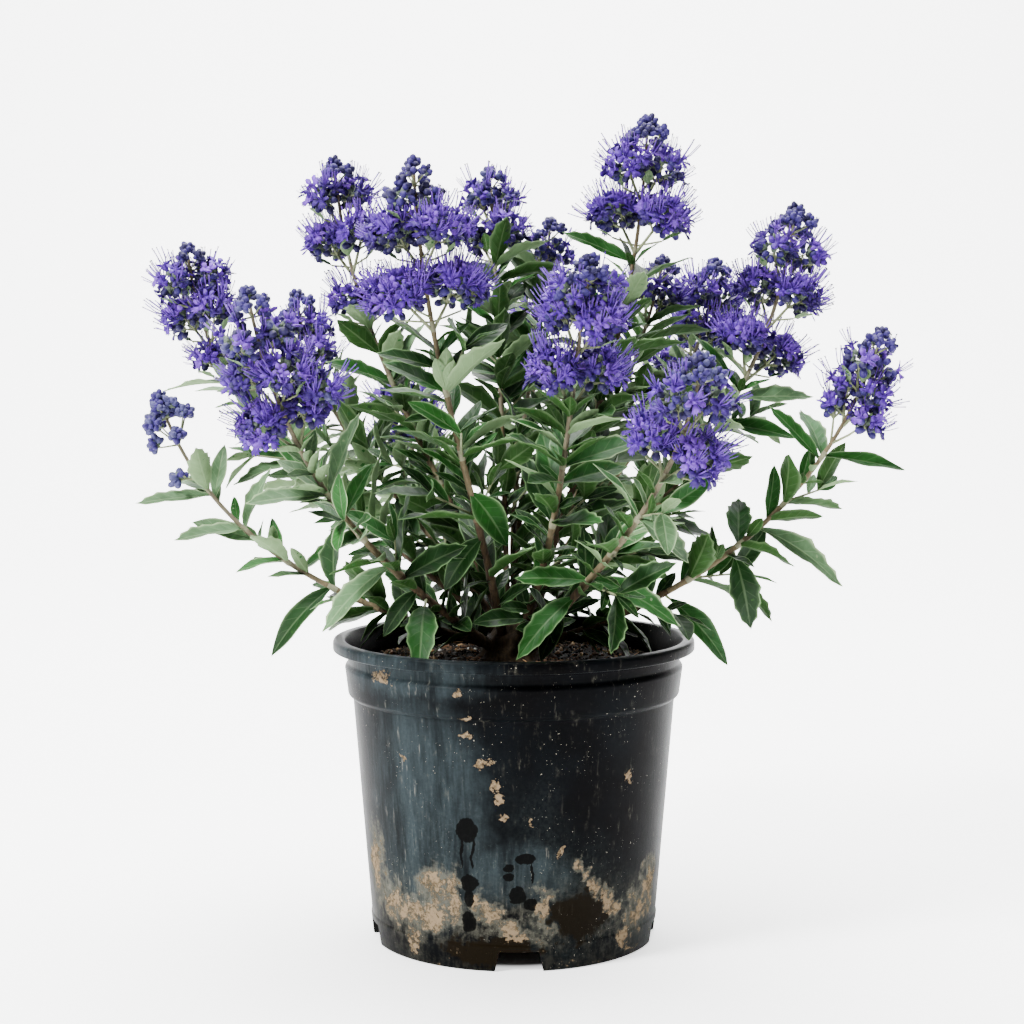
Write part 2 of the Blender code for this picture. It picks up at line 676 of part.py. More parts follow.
def main():
    plans = [(stem, *planStem(stem)) for stem in STEMS]
    space = Space()
    for solid in (makePot(), makeSoil(), makeCrown([plan[1] for plan in plans])):
        points = [vertex.co.copy() for vertex in solid.data.vertices]
        space.add(solid.name, "limb", points, [tuple(face.vertices) for face in solid.data.polygons])
    stalks = {}
    foliage = {}
    for stem, path, bare, bloom in plans:
        bough = tube(*stretch(path, STUB_LENGTH + CLEAR, bare, 4), 6)
        leafy = tube(*stretch(path, bare + CLEAR, bloom, 6), 4)
        flowering = tube(*stretch(path, bloom + CLEAR, path.length - TIP_CUT, 4), 4)
        stalks[stem.name] = (leafy, flowering)
        makeMass("bough_" + stem.name, bough, [], BARK)
        space.add("bough_" + stem.name, "limb", *bough)
        space.add("foliage_" + stem.name, "limb", *leafy)
        space.add("blossom_" + stem.name, "limb", *flowering)
    for stem, path, bare, bloom in plans:
        node = "blossom_" + stem.name
        makeMass(node, stalks[stem.name][1], addFlowers(stem, path, space, node), BLOSSOM)
    for stem, path, bare, bloom in plans:
        node = "foliage_" + stem.name
        foliage[stem.name] = addChosenLeaves(stem, path, space, node)
    for stem, path, bare, bloom in plans:
        node = "foliage_" + stem.name
        pieces = foliage[stem.name] + addFoliage(stem, path, bare, bloom, space, node)
        makeMass(node, stalks[stem.name][0], pieces, LEAF)


main()
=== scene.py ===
import math
import random
from collections import namedtuple

import bpy
import bmesh
import numpy as np
from mathutils import Matrix, Vector, noise
from mathutils.bvhtree import BVHTree


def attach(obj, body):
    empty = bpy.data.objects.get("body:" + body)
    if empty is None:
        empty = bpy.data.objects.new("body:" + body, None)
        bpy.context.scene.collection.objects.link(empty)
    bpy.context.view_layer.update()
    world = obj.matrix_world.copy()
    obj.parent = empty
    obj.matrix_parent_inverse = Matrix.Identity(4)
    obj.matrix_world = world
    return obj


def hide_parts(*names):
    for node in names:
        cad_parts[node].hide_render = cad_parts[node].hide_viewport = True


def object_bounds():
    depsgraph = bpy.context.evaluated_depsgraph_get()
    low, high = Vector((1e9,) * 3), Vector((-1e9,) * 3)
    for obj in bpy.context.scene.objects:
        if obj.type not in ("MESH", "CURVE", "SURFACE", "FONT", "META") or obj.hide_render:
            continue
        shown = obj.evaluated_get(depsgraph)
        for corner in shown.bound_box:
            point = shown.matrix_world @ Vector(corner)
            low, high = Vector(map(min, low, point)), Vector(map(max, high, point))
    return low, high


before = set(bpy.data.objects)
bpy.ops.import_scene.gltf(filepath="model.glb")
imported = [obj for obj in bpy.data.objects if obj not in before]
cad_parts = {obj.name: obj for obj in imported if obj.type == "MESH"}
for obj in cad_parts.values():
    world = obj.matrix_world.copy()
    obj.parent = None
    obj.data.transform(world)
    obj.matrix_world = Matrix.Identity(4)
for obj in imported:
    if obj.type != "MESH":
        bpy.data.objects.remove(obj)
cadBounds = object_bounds()
print("frame loaded:", len(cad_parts), "nodes")


# Small helpers

def makeMesh(name, points, faces, finishes, indices=None, smooth=True):
    mesh = bpy.data.meshes.new(name)
    mesh.from_pydata([tuple(point) for point in points], [], faces)
    for finish in finishes:
        mesh.materials.append(finish)
    if indices is not None:
        mesh.polygons.foreach_set("material_index", indices)
    if smooth:
        mesh.shade_smooth()
    made = bpy.data.objects.new(name, mesh)
    bpy.context.scene.collection.objects.link(made)
    return made


def linkPiece(piece, slotName, *nodes):
    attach(piece, "root")
    if nodes:
        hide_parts(*nodes)


class Flow:  # one output socket, with arithmetic on it
    def __init__(self, tree, socket):
        self.tree = tree
        self.socket = socket

    def maths(self, operation, *values):
        node = self.tree.nodes.new("ShaderNodeMath")
        node.operation = operation
        for place, value in enumerate(values):
            if isinstance(value, Flow):
                self.tree.links.new(value.socket, node.inputs[place])
            else:
                node.inputs[place].default_value = value
        return Flow(self.tree, node.outputs[0])

    def __add__(self, other): return self.maths("ADD", self, other)
    def __radd__(self, other): return self.maths("ADD", other, self)
    def __sub__(self, other): return self.maths("SUBTRACT", self, other)
    def __rsub__(self, other): return self.maths("SUBTRACT", other, self)
    def __mul__(self, other): return self.maths("MULTIPLY", self, other)
    def __rmul__(self, other): return self.maths("MULTIPLY", other, self)
    def __truediv__(self, other): return self.maths("DIVIDE", self, other)
    def __pow__(self, other): return self.maths("POWER", self, other)
    def most(self, other): return self.maths("MAXIMUM", self, other)
    def least(self, other): return self.maths("MINIMUM", self, other)

    def between(self, low, high):  # 0 below low, 1 above high
        return self.tree.surface.node("ShaderNodeMapRange", {"interpolation_type": "SMOOTHSTEP"},
                                      {"Value": self, "From Min": low, "From Max": high})


class Surface:  # one material and its node tree
    def __init__(self, name, colour, roughness, **fixed):
        self.material = bpy.data.materials.new(name)
        self.material.use_nodes = True
        self.nodes = self.material.node_tree.nodes
        self.links = self.material.node_tree.links
        self.surface = self
        self.shader = self.nodes["Principled BSDF"]
        self.shader.inputs["Base Color"].default_value = (*colour, 1)
        self.shader.inputs["Roughness"].default_value = roughness
        for socket, value in fixed.items():
            self.shader.inputs[socket.replace("_", " ")].default_value = value

    def node(self, kind, settings=None, sockets=None, output=0):
        made = self.nodes.new(kind)
        for name, value in (settings or {}).items():
            if name == "stops":
                ramp = made.color_ramp.elements
                while len(ramp) < len(value):
                    ramp.new(0.5)
                for element, (place, colour) in zip(ramp, value):
                    element.position = place
                    element.color = (*colour, 1)
            else:
                setattr(made, name, value)
        for name, value in (sockets or {}).items():
            if isinstance(value, Flow):
                self.links.new(value.socket, made.inputs[name])
            else:
                made.inputs[name].default_value = value
        return Flow(self, made.outputs[output])

    def feed(self, socket, flow):
        self.links.new(flow.socket, self.shader.inputs[socket])

    def place(self):
        return self.node("ShaderNodeTexCoord", output="Object")

    def noise(self, scale, detail=3, roughness=0.6, vector=None):
        return self.node("ShaderNodeTexNoise", {}, {"Vector": vector or self.place(), "Scale": scale,
                                                    "Detail": detail, "Roughness": roughness})

    def mix(self, share, first, second):
        wrap = [value if isinstance(value, Flow) else (*value, 1) for value in (first, second)]
        made = self.nodes.new("ShaderNodeMix")
        made.data_type = "RGBA"
        self.links.new(share.socket, made.inputs[0])
        for place, value in zip((6, 7), wrap):
            if isinstance(value, Flow):
                self.links.new(value.socket, made.inputs[place])
            else:
                made.inputs[place].default_value = value
        return Flow(self, made.outputs[2])

    def bump(self, height, distance, strength=1.0):
        flow = self.node("ShaderNodeBump", {}, {"Height": height, "Distance": distance,
                                                "Strength": strength})
        self.feed("Normal", flow)


# The source's rule for the stems, in the source's own sizes

clear = 0.0003
lipRadius = 0.1100
soilLevel = 0.1700
crownFootRadius = 0.0225
crownRadius = 0.0170
crownHeight = 0.0230
stubLength = 0.0060
limbTipRadius = 0.0009
handleShare = 0.38
nodeSpacing = 0.0350
leafLength = 0.0500
leafTopLength = 0.0380
leafWidth = 0.36
leafThickness = 0.0009
shootLength = 0.0260
shootsUpTo = 0.64
leafTwist = 40
leafMargin = 0.0011
tierSides = 7
tierHeight = 0.0290
rings = {"outer": (0.0175, 0.0090), "middle": (0.0130, 0.0170), "inner": (0.0080, 0.0220)}

Stem = namedtuple("Stem", "name ring start azimuth reach top rise finish swing thick bare roll tiers")
stemPlans = (
    Stem("low_left", "outer", 184, 180, 216, 332, 16, 73, 4, 2.3, 60, 80, ((9, 12), (22, 18))),
    Stem("front_left", "outer", 214, 214, 179, 392, 35, 79, -12, 2.8, 36, 20,
         ((9, 12), (27, 24), (49, 29), (75, 29))),
    Stem("far_left", "middle", 166, 168, 208, 424, 40, 87, -9, 2.5, 60, 60,
         ((9, 11), (22, 23), (44, 24), (70, 15))),
    Stem("tall_left", "inner", 160, 152, 128, 478, 55, 86, -27, 2.5, 58, 60,
         ((9, 12), (23, 22), (50, 27), (88, 19))),
    Stem("centre_left", "middle", 236, 226, 83, 468, 62, 87, 26, 2.6, 34, 10,
         ((9, 11), (21, 20), (42, 32), (76, 39))),
    Stem("rear_centre", "inner", 118, 99, 101, 476, 51, 68, -7, 2.2, 64, 80, ((9, 10), (21, 20), (46, 22))),
    Stem("rear_right", "inner", 76, 80, 142, 445, 46, 67, 18, 2.2, 68, 0, ((9, 12), (24, 18))),
    Stem("tallest", "inner", 10, 14, 84, 498, 70, 88, 5, 2.5, 58, 60, ((9, 15), (28, 27), (58, 33))),
    Stem("front_centre", "middle", 290, 293, 109, 410, 49, 71, 1, 2.6, 42, 50,
         ((9, 12), (20, 22), (35, 26), (66, 29))),
    Stem("upper_right", "middle", 12, 13, 180, 446, 43, 83, -10, 2.7, 52, 70,
         ((9, 15), (27, 25), (53, 28), (89, 30))),
    Stem("far_right", "outer", 354, 355, 221, 371, 18, 74, 1, 2.5, 56, 90, ((9, 11), (22, 20), (39, 20))),
    Stem("front_right", "outer", 306, 306, 174, 355, 41, 74, 1, 3.0, 30, 60,
         ((9, 14), (24, 26), (54, 29))),
    Stem("back_right", "middle", 46, 42, 179, 418, 59, 86, 11, 2.4, 66, 30, ((9, 12), (26, 24), (48, 22))),
    Stem("back_centre", "middle", 88, 84, 191, 423, 52, 72, 5, 2.4, 66, 10, ((9, 12), (25, 19), (46, 20))),
    Stem("inner_right", "inner", 40, 38, 122, 418, 62, 75, 6, 2.1, 66, 50, ((9, 11), (24, 18))),
    Stem("back_left", "middle", 130, 141, 185, 396, 48, 80, 0, 2.4, 56, 40, ((9, 12), (25, 20), (45, 18))),
    Stem("low_back", "outer", 112, 112, 214, 345, 28, 74, 0, 2.4, 52, 70, ((9, 12), (26, 24), (48, 26))),
    Stem("low_back_right", "outer", 62, 56, 212, 368, 30, 74, 0, 2.4, 52, 20,
         ((9, 12), (26, 24), (48, 24))),
)

Stalk = namedtuple("Stalk", "stem drop azimuth slope length radius")
stalkPlans = (
    Stalk("low_left", 58, 190, 5, 13, 8),
    Stalk("far_right", 76, 60, 75, 23, 10),
    Stalk("far_right", 76, 330, 30, 26, 11),
    Stalk("front_left", 80, 330, 35, 32, 12),
)

Leaf = namedtuple("Leaf", "stem distance azimuth slope length width twig")
frontLeafUpper = Vector((0, -0.75, 0.65))
chosenLeaves = (
    Leaf("far_right", 208, 0, -5, 51, 10, 0),
    Leaf("far_right", 205, 178, 50, 43, 10, 0),
    Leaf("far_right", 150, 352, -20, 59, 15, 0),
    Leaf("far_right", 130, 300, -60, 40, 19, 6),
    Leaf("far_right", 80, 340, -35, 50, 15, 6),
    Leaf("upper_right", 190, 0, 6, 48, 13, 0),
    Leaf("upper_right", 172, 352, -6, 47, 13, 0),
    Leaf("upper_right", 218, 2, 10, 51, 11, 0),
    Leaf("tallest", 231, 0, 21, 54, 11, 0),
    Leaf("tallest", 229, 180, 28, 46, 11, 0),
    Leaf("tall_left", 250, 180, 20, 38, 12, 0),
    Leaf("far_left", 226, 178, 12, 46, 9, 0),
    Leaf("low_left", 192, 182, -2, 46, 9, 0),
    Leaf("low_left", 190, 60, 75, 34, 10, 0),
    Leaf("low_left", 152, 184, 20, 42, 13, 0),
    Leaf("low_left", 100, 200, -34, 52, 14, 0),
    Leaf("front_left", 84, 192, -30, 52, 15, 0),
    Leaf("front_left", 52, 268, -14, 47, 18, 16),
    Leaf("front_left", 60, 215, -36, 31, 12, 0),
    Leaf("front_left", 72, 340, 32, 43, 17, 0),
    Leaf("centre_left", 66, 205, -40, 35, 15, 0),
    Leaf("centre_left", 95, 335, -42, 35, 19, 0),
    Leaf("centre_left", 206, 186, 18, 56, 13, 0),
    Leaf("front_right", 54, 205, -32, 45, 16, 0),
    Leaf("front_right", 72, 182, 5, 42, 15, 0),
    Leaf("front_right", 74, 350, -14, 55, 16, 0),
    Leaf("front_right", 40, 232, -44, 30, 13, 0),
)


def heading(azimuth, slope):
    azimuth, slope = math.radians(azimuth), math.radians(slope)
    return Vector((math.cos(azimuth) * math.cos(slope), math.sin(azimuth) * math.cos(slope),
                   math.sin(slope)))


class Path:  # a stem's centre line, read by the distance along it from the crown
    def __init__(self, stem):
        radius, height = rings[stem.ring]
        foot = heading(stem.start, 0) * radius + Vector((0, 0, soilLevel + height))
        tip = heading(stem.azimuth, 0) * stem.reach * 0.001 + Vector((0, 0, stem.top * 0.001))
        handle = (tip - foot).length * handleShare
        first = foot + heading(stem.azimuth + stem.swing, stem.rise) * handle
        second = tip - heading(stem.azimuth, stem.finish) * handle
        self.points = []
        for step in range(65):
            t = step / 64
            self.points.append(foot * (1 - t) ** 3 + first * 3 * t * (1 - t) ** 2
                               + second * 3 * t ** 2 * (1 - t) + tip * t ** 3)
        self.marks = [0.0]
        for before, after in zip(self.points, self.points[1:]):
            self.marks.append(self.marks[-1] + (after - before).length)
        self.length = self.marks[-1]
        self.thick = stem.thick * 0.001

    def at(self, distance):
        distance = min(max(distance, 0.0), self.length)
        for index in range(64):
            if distance <= self.marks[index + 1]:
                share = (distance - self.marks[index]) / (self.marks[index + 1] - self.marks[index])
                return self.points[index].lerp(self.points[index + 1], share)
        return self.points[-1]

    def direction(self, distance):
        return (self.at(distance + 0.002) - self.at(distance - 0.002)).normalized()

    def radius(self, distance):
        share = distance / self.length
        return self.thick + (limbTipRadius - self.thick) * share ** 0.85


def across(direction, turn):  # square to the direction, turned round it from its upper side
    side = direction.cross(Vector((0, 0, 1)))
    if side.length < 0.05:
        side = direction.cross(Vector((0, 1, 0)))
    side.normalize()
    upper = side.cross(direction)
    angle = math.radians(turn)
    return upper * math.cos(angle) + side * math.sin(angle)


def tube(points, radii, sides):
    made = []
    faces = []
    side = across((points[1] - points[0]).normalized(), 0)
    for index, point in enumerate(points):
        before = points[max(index - 1, 0)]
        after = points[min(index + 1, len(points) - 1)]
        along = (after - before).normalized()
        side = (side - along * side.dot(along)).normalized()
        other = along.cross(side)
        for step in range(sides):
            angle = math.tau * step / sides
            made.append(point + (side * math.cos(angle) + other * math.sin(angle)) * radii[index])
    for ring in range(len(points) - 1):
        for step in range(sides):
            low = ring * sides + step
            after = ring * sides + (step + 1) % sides
            faces.append((low, after, after + sides, low + sides))
    faces.append(tuple(range(sides - 1, -1, -1)))
    faces.append(tuple(range(len(made) - sides, len(made))))
    return made, faces


def plainLeaf(foot, direction, upper, length, width, thickness, arch):  # the source's blade
    direction = direction.normalized()
    upper = (upper - direction * upper.dot(direction)).normalized()
    side = direction.cross(upper)

    def rib(share):
        return foot + direction * length * share - upper * length * arch * share ** 2

    half = width / 2
    fold = upper * half * 0.35
    points = [
        foot,
        rib(0.34) + side * half + fold,
        rib(0.70) + side * half * 0.72 + fold * 0.7,
        rib(1.0),
        rib(0.70) - side * half * 0.72 + fold * 0.7,
        rib(0.34) - side * half + fold,
        rib(0.48) + upper * thickness / 2,
        rib(0.48) - upper * thickness / 2,
    ]
    faces = []
    for corner in range(6):
        after = (corner + 1) % 6
        faces.append((6, corner, after))
        faces.append((7, after, corner))
    return points, faces


def plainTier(centre, axis, lobes, radius, height, chance):  # the source's cushion of flowers
    ahead = across(axis, lobes)
    beside = axis.cross(ahead)
    points = [centre + axis * height * 0.5]
    for lift, share in ((0.38, 0.62), (0.06, 1.0), (-0.34, 0.76)):
        for step in range(tierSides):
            angle = math.tau * (step + (0.5 if lift == 0.06 else 0.0)) / tierSides
            reach = radius * share * (0.90 + 0.12 * math.cos(2 * angle)) * chance.uniform(0.93, 1.07)
            points.append(centre + (ahead * math.cos(angle) + beside * math.sin(angle)) * reach
                          + axis * height * (lift + chance.uniform(-0.05, 0.05)))
    points.append(centre - axis * height * 0.46)
    last = len(points) - 1
    faces = []
    for step in range(tierSides):
        after = (step + 1) % tierSides
        before = (step - 1) % tierSides
        top, middle, low = 1, 1 + tierSides, 1 + 2 * tierSides
        faces.append((0, top + step, top + after))
        faces.append((top + step, middle + step, top + after))
        faces.append((top + step, middle + before, middle + step))
        faces.append((middle + before, low + step, middle + step))
        faces.append((middle + step, low + step, low + after))
        faces.append((last, low + after, low + step))
    return points, faces


class Space:  # what is placed so far, so that a leaf or twig goes only where it is free
    def __init__(self):
        self.pieces = []

    def add(self, node, kind, points, faces):
        centre = sum(points, Vector()) / len(points)
        reach = max((point - centre).length for point in points)
        self.pieces.append((node, kind, centre, reach, BVHTree.FromPolygons(points, faces)))

    def free(self, node, points, faces, skipped):
        centre = sum(points, Vector()) / len(points)
        reach = max((point - centre).length for point in points)
        tree = BVHTree.FromPolygons(points, faces)
        for other, kind, middle, size, placed in self.pieces:
            if other == node and kind in skipped:
                continue
            if (middle - centre).length > reach + size:
                continue
            if kind == "cluster" and any((point - middle).length < size * 0.6 for point in points):
                return False
            if placed.overlap(tree):
                return False
        return True


def planStem(stem):
    path = Path(stem)
    lowest = stem.tiers[-1][0] * 0.001 + tierHeight * 0.5 + 0.003
    for stalk in stalkPlans:
        if stalk.stem == stem.name:
            lowest = max(lowest, stalk.drop * 0.001 + 0.004)
    return path, stem.bare * 0.001, path.length - lowest


def stretch(path, start, end, steps):
    distances = [start + (end - start) * step / steps for step in range(steps + 1)]
    return [path.at(distance) for distance in distances], [path.radius(distance) for distance in distances]


# What grows: lists that the pieces below are made from

Blade = namedtuple("Blade", "foot direction upper length width arch share")
Tier = namedtuple("Tier", "stem level centre axis lobes radius height foot")
blades = []
smallBlades = []
tiers = []
twigs = []
space = Space()


def addTiers(stem, path, node):
    chance = random.Random(stem.name + " flowers")
    for level, (drop, radius) in enumerate(stem.tiers):
        distance = path.length - drop * 0.001
        axis = path.direction(distance)
        height = tierHeight * (0.62 if level == 0 else 1.0)
        size = radius * 0.001
        cushion = plainTier(path.at(distance), axis, stem.roll + 90 * level, size, height, chance)
        space.add(node, "cluster", *cushion)
        foot = path.at(distance - height * 0.42)
        tiers.append(Tier(stem.name, level, path.at(distance), axis, stem.roll + 90 * level, size,
                          height, foot))
    for stalk in stalkPlans:
        if stalk.stem != stem.name:
            continue
        foot = path.at(path.length - stalk.drop * 0.001)
        direction = heading(stalk.azimuth, stalk.slope)
        centre = foot + direction * stalk.length * 0.001
        twigs.append(([foot, foot.lerp(centre, 0.5) - Vector((0, 0, 0.001)), centre], 0.0009, 0.0006))
        size = stalk.radius * 0.001
        cushion = plainTier(centre, direction, 0, size, size * 1.6, chance)
        space.add(node, "cluster", *cushion)
        tiers.append(Tier(stem.name, 9, centre, direction, 0, size, size * 1.6, centre - direction * size * 0.7))


def leafUpper(direction, axis, twist):
    upper = axis * 0.6 + Vector((0, 0, 1)) * 0.7
    return Matrix.Rotation(math.radians(twist), 3, direction) @ upper


def tryLeaf(node, grown, foot, direction, upper, length, width, arch, share):
    roomy = plainLeaf(foot, direction, upper, length + leafMargin, width + leafMargin,
                      leafThickness + leafMargin, arch)
    if not space.free(node, *roomy, ("limb",)):
        return False
    space.add(node, "leaf", *plainLeaf(foot, direction, upper, length, width, leafThickness, arch))
    grown.append(Blade(foot, direction, upper, length, width, arch, share))
    return True


def addChosenLeaves(stem, path, node):
    for chosen in chosenLeaves:
        if chosen.stem != stem.name:
            continue
        foot = path.at(chosen.distance * 0.001)
        direction = heading(chosen.azimuth, chosen.slope)
        if chosen.twig:
            end = foot + direction * chosen.twig * 0.001
            twigs.append(([foot, end], 0.0009, 0.0008))
            foot = end - direction * 0.001
        if tryLeaf(node, blades, foot, direction, frontLeafUpper, chosen.length * 0.001,
                   chosen.width * 0.001, 0.10, chosen.distance * 0.001 / path.length) and chosen.slope < -12:
            blades[-1] = blades[-1]._replace(arch=0.40)


def addFoliage(stem, path, bare, bloom, node):
    chance = random.Random(stem.name + " foliage")
    shoots = []
    count = max(2, round((bloom - bare - 0.010) / nodeSpacing))
    spacing = (bloom - bare - 0.010) / count
    for level in range(count + 1):
        distance = bare + 0.005 + level * spacing
        share = distance / path.length
        axis = path.direction(distance)
        length = leafLength + (leafTopLength - leafLength) * max(0.0, share - 0.35) / 0.45
        for side in (0, 180):
            outward = across(axis, stem.roll + 45 + 90 * level + side + chance.uniform(-16, 16))
            direction = outward + axis * chance.uniform(0.45, 0.95)
            size = length * chance.uniform(0.86, 1.12)
            upper = leafUpper(direction, axis, chance.uniform(-leafTwist, leafTwist))
            tryLeaf(node, blades, path.at(distance), direction, upper, size, size * leafWidth,
                    chance.uniform(0.05, 0.22), share)
            reach = shootLength * chance.uniform(0.7, 1.25)
            heads = (outward + axis * chance.uniform(0.9, 1.4)).normalized()
            foot = path.at(distance + 0.002)
            roomy = tube([foot, foot + heads * reach], [0.0018, 0.0016], 3)
            if share > shootsUpTo or not space.free(node, *roomy, ("limb",)):
                continue
            grown = []
            tip = foot + heads * (reach - 0.001)
            for turn in (0, 180):
                beside = across(heads, stem.roll + turn + 90 * (level % 2) + chance.uniform(-20, 20))
                small = size * chance.uniform(0.62, 0.8)
                upper = leafUpper(beside, heads, chance.uniform(-leafTwist, leafTwist))
                tryLeaf(node, grown, tip, beside + heads * 0.9, upper, small, small * leafWidth,
                        0.12, share)
            if grown:
                space.add(node, "limb", *tube([foot, foot + heads * reach], [0.0009, 0.0007], 3))
                twigs.append(([foot, foot + heads * reach], 0.0009, 0.0006))
                blades.extend(grown)
                shoots.append((foot, heads, reach, share))
    return shoots


# The finer growth that the source leaves out
finerGrowth = {"tuftSpacing": 0.0085, "tuftLength": (0.016, 0.036), "shootTuft": (0.014, 0.028)}


def hidesStem(stem, direction):  # the middle stem shows from the front, so its leaves stand to its sides
    ahead = direction.normalized()
    return stem.name == "centre_left" and abs(ahead.x) < 0.55 and ahead.y < 0.3


def addFinerLeaves(stem, path, bare, bloom, node, shoots):
    chance = random.Random(stem.name + " finer")
    distance = bare + 0.002
    turn = chance.uniform(0, 90)
    while distance < bloom - 0.004:
        share = distance / path.length
        axis = path.direction(distance)
        turn += 90
        for side in (0, 90, 180, 270):
            if chance.random() > (0.35 if stem.name in ("far_right", "low_left") else 0.75):
                continue
            outward = across(axis, turn + side + chance.uniform(-25, 25))
            direction = outward + axis * chance.uniform(0.5, 1.5)
            length = chance.uniform(*finerGrowth["tuftLength"]) * (1.0 if share < 0.6 else 0.8)
            upper = leafUpper(direction, axis, chance.uniform(-leafTwist, leafTwist))
            if hidesStem(stem, direction):
                continue
            tryLeaf(node, smallBlades, path.at(distance), direction, upper, length,
                    length * chance.uniform(0.30, 0.38), chance.uniform(0.04, 0.2), share)
        distance += finerGrowth["tuftSpacing"] * chance.uniform(0.8, 1.3)
    for foot, heads, reach, share in shoots:
        for part in (0.35, 0.65, 0.98):
            for side in (0, 180):
                beside = across(heads, stem.roll + 90 * part * 4 + side + chance.uniform(-25, 25))
                length = chance.uniform(*finerGrowth["shootTuft"])
                upper = leafUpper(beside, heads, chance.uniform(-leafTwist, leafTwist))
                lean = 1.0 if part < 0.9 else 2.2
                tryLeaf(node, smallBlades, foot + heads * reach * part, beside + heads * lean, upper,
                        length, length * 0.34, chance.uniform(0.04, 0.18), share)


def addUpperLeaves(stem, path, bare, bloom, node):
    # leaves of middle size between the pairs, up to the lowest flowers
    chance = random.Random(stem.name + " upper")
    distance = bare + (bloom - bare) * 0.40
    while distance < bloom + 0.006:
        axis = path.direction(distance)
        for _ in range(3):
            outward = across(axis, chance.uniform(0, 360))
            direction = outward + axis * chance.uniform(0.2, 1.4)
            length = chance.uniform(0.027, 0.046)
            upper = leafUpper(direction, axis, chance.uniform(-leafTwist, leafTwist))
            if hidesStem(stem, direction):
                continue
            tryLeaf(node, smallBlades, path.at(distance), direction, upper, length,
                    length * chance.uniform(0.30, 0.36), chance.uniform(0.05, 0.2), 0.40)
        distance += 0.010


def addYoungTip(stem, path, node):  # the folded young leaves in front of the middle stem
    distance = path.length - 0.135
    axis = path.direction(distance)
    front = Vector((0, -1, 0))
    foot = path.at(distance) + front * 0.003
    for aside, forward, length in ((0.24, 0.16, 0.026), (0.48, 0.30, 0.020), (-0.10, 0.28, 0.021)):
        direction = axis + front * forward + Vector((aside, 0, 0))
        smallBlades.append(Blade(foot, direction, axis * 0.3 - front, length, length * 0.40, 0.05, 1.2))


def addLowLeaves(stem, path, bare, node):
    chance = random.Random(stem.name + " low")
    for step in range(9):
        distance = bare * (0.30 + 0.70 * step / 8)
        axis = path.direction(distance)
        for side in (chance.uniform(0, 360), chance.uniform(0, 360)):
            direction = across(axis, side) + axis * chance.uniform(0.2, 1.2)
            length = chance.uniform(0.018, 0.036)
            upper = leafUpper(direction, axis, chance.uniform(-leafTwist, leafTwist))
            tryLeaf(node, smallBlades, path.at(distance), direction, upper, length, length * 0.38,
                    chance.uniform(0.08, 0.2), 0.0)


plans = [(stem, *planStem(stem)) for stem in stemPlans]
for name in ("pot", "soil", "crown"):
    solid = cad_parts[name]
    space.add(name, "limb", [vertex.co.copy() for vertex in solid.data.vertices],
              [tuple(face.vertices) for face in solid.data.polygons])
for stem, path, bare, bloom in plans:
    space.add("bough_" + stem.name, "limb", *tube(*stretch(path, stubLength + clear, bare, 4), 6))
    space.add("foliage_" + stem.name, "limb", *tube(*stretch(path, bare + clear, bloom, 6), 4))
    space.add("blossom_" + stem.name, "limb",
              *tube(*stretch(path, bloom + clear, path.length - 0.004, 4), 4))
for stem, path, bare, bloom in plans:
    addTiers(stem, path, "blossom_" + stem.name)
for stem, path, bare, bloom in plans:
    addChosenLeaves(stem, path, "foliage_" + stem.name)
shootsOf = {}
for stem, path, bare, bloom in plans:
    shootsOf[stem.name] = addFoliage(stem, path, bare, bloom, "foliage_" + stem.name)
for stem, path, bare, bloom in plans:
    if stem.ring != "outer" and stem.name != "far_left":
        addUpperLeaves(stem, path, bare, bloom, "foliage_" + stem.name)
    if stem.name == "centre_left":
        addYoungTip(stem, path, "foliage_" + stem.name)
for stem, path, bare, bloom in plans:
    addFinerLeaves(stem, path, bare, bloom, "foliage_" + stem.name, shootsOf[stem.name])
for stem, path, bare, bloom in plans:
    addLowLeaves(stem, path, bare, "bough_" + stem.name)
for index, blade in enumerate(blades):  # three of its larger leaves turn aside
    ahead = blade.direction.normalized()
    near = math.hypot(blade.foot.x + 0.030, blade.foot.z - 0.303) < 0.022
    if near and blade.foot.y < -0.045 and abs(ahead.x) < 0.55:
        blades[index] = blade._replace(direction=ahead + Vector((1.1 if ahead.x > -0.1 else -1.1, 0.15, 0)))
print("grown:", len(blades), "leaves,", len(smallBlades), "small leaves,", len(tiers), "tiers")


# Scatter: one Geometry Nodes tree that puts shapes on points

def tidySlots(mesh):  # drops empty finish slots and the attributes that only placed the shapes
    indices = np.zeros(len(mesh.polygons), dtype=np.int32)
    mesh.polygons.foreach_get("material_index", indices)
    used = sorted(set(indices.tolist()))
    finishes = [mesh.materials[index] for index in used]
    lookup = np.zeros(max(used) + 1, dtype=np.int32)
    lookup[used] = np.arange(len(used), dtype=np.int32)
    mesh.materials.clear()
    for finish in finishes:
        mesh.materials.append(finish)
    mesh.polygons.foreach_set("material_index", lookup[indices])
    for label in ("turn", "stretch", "kind", "tint", "part"):
        if label in mesh.attributes:
            mesh.attributes.remove(mesh.attributes[label])


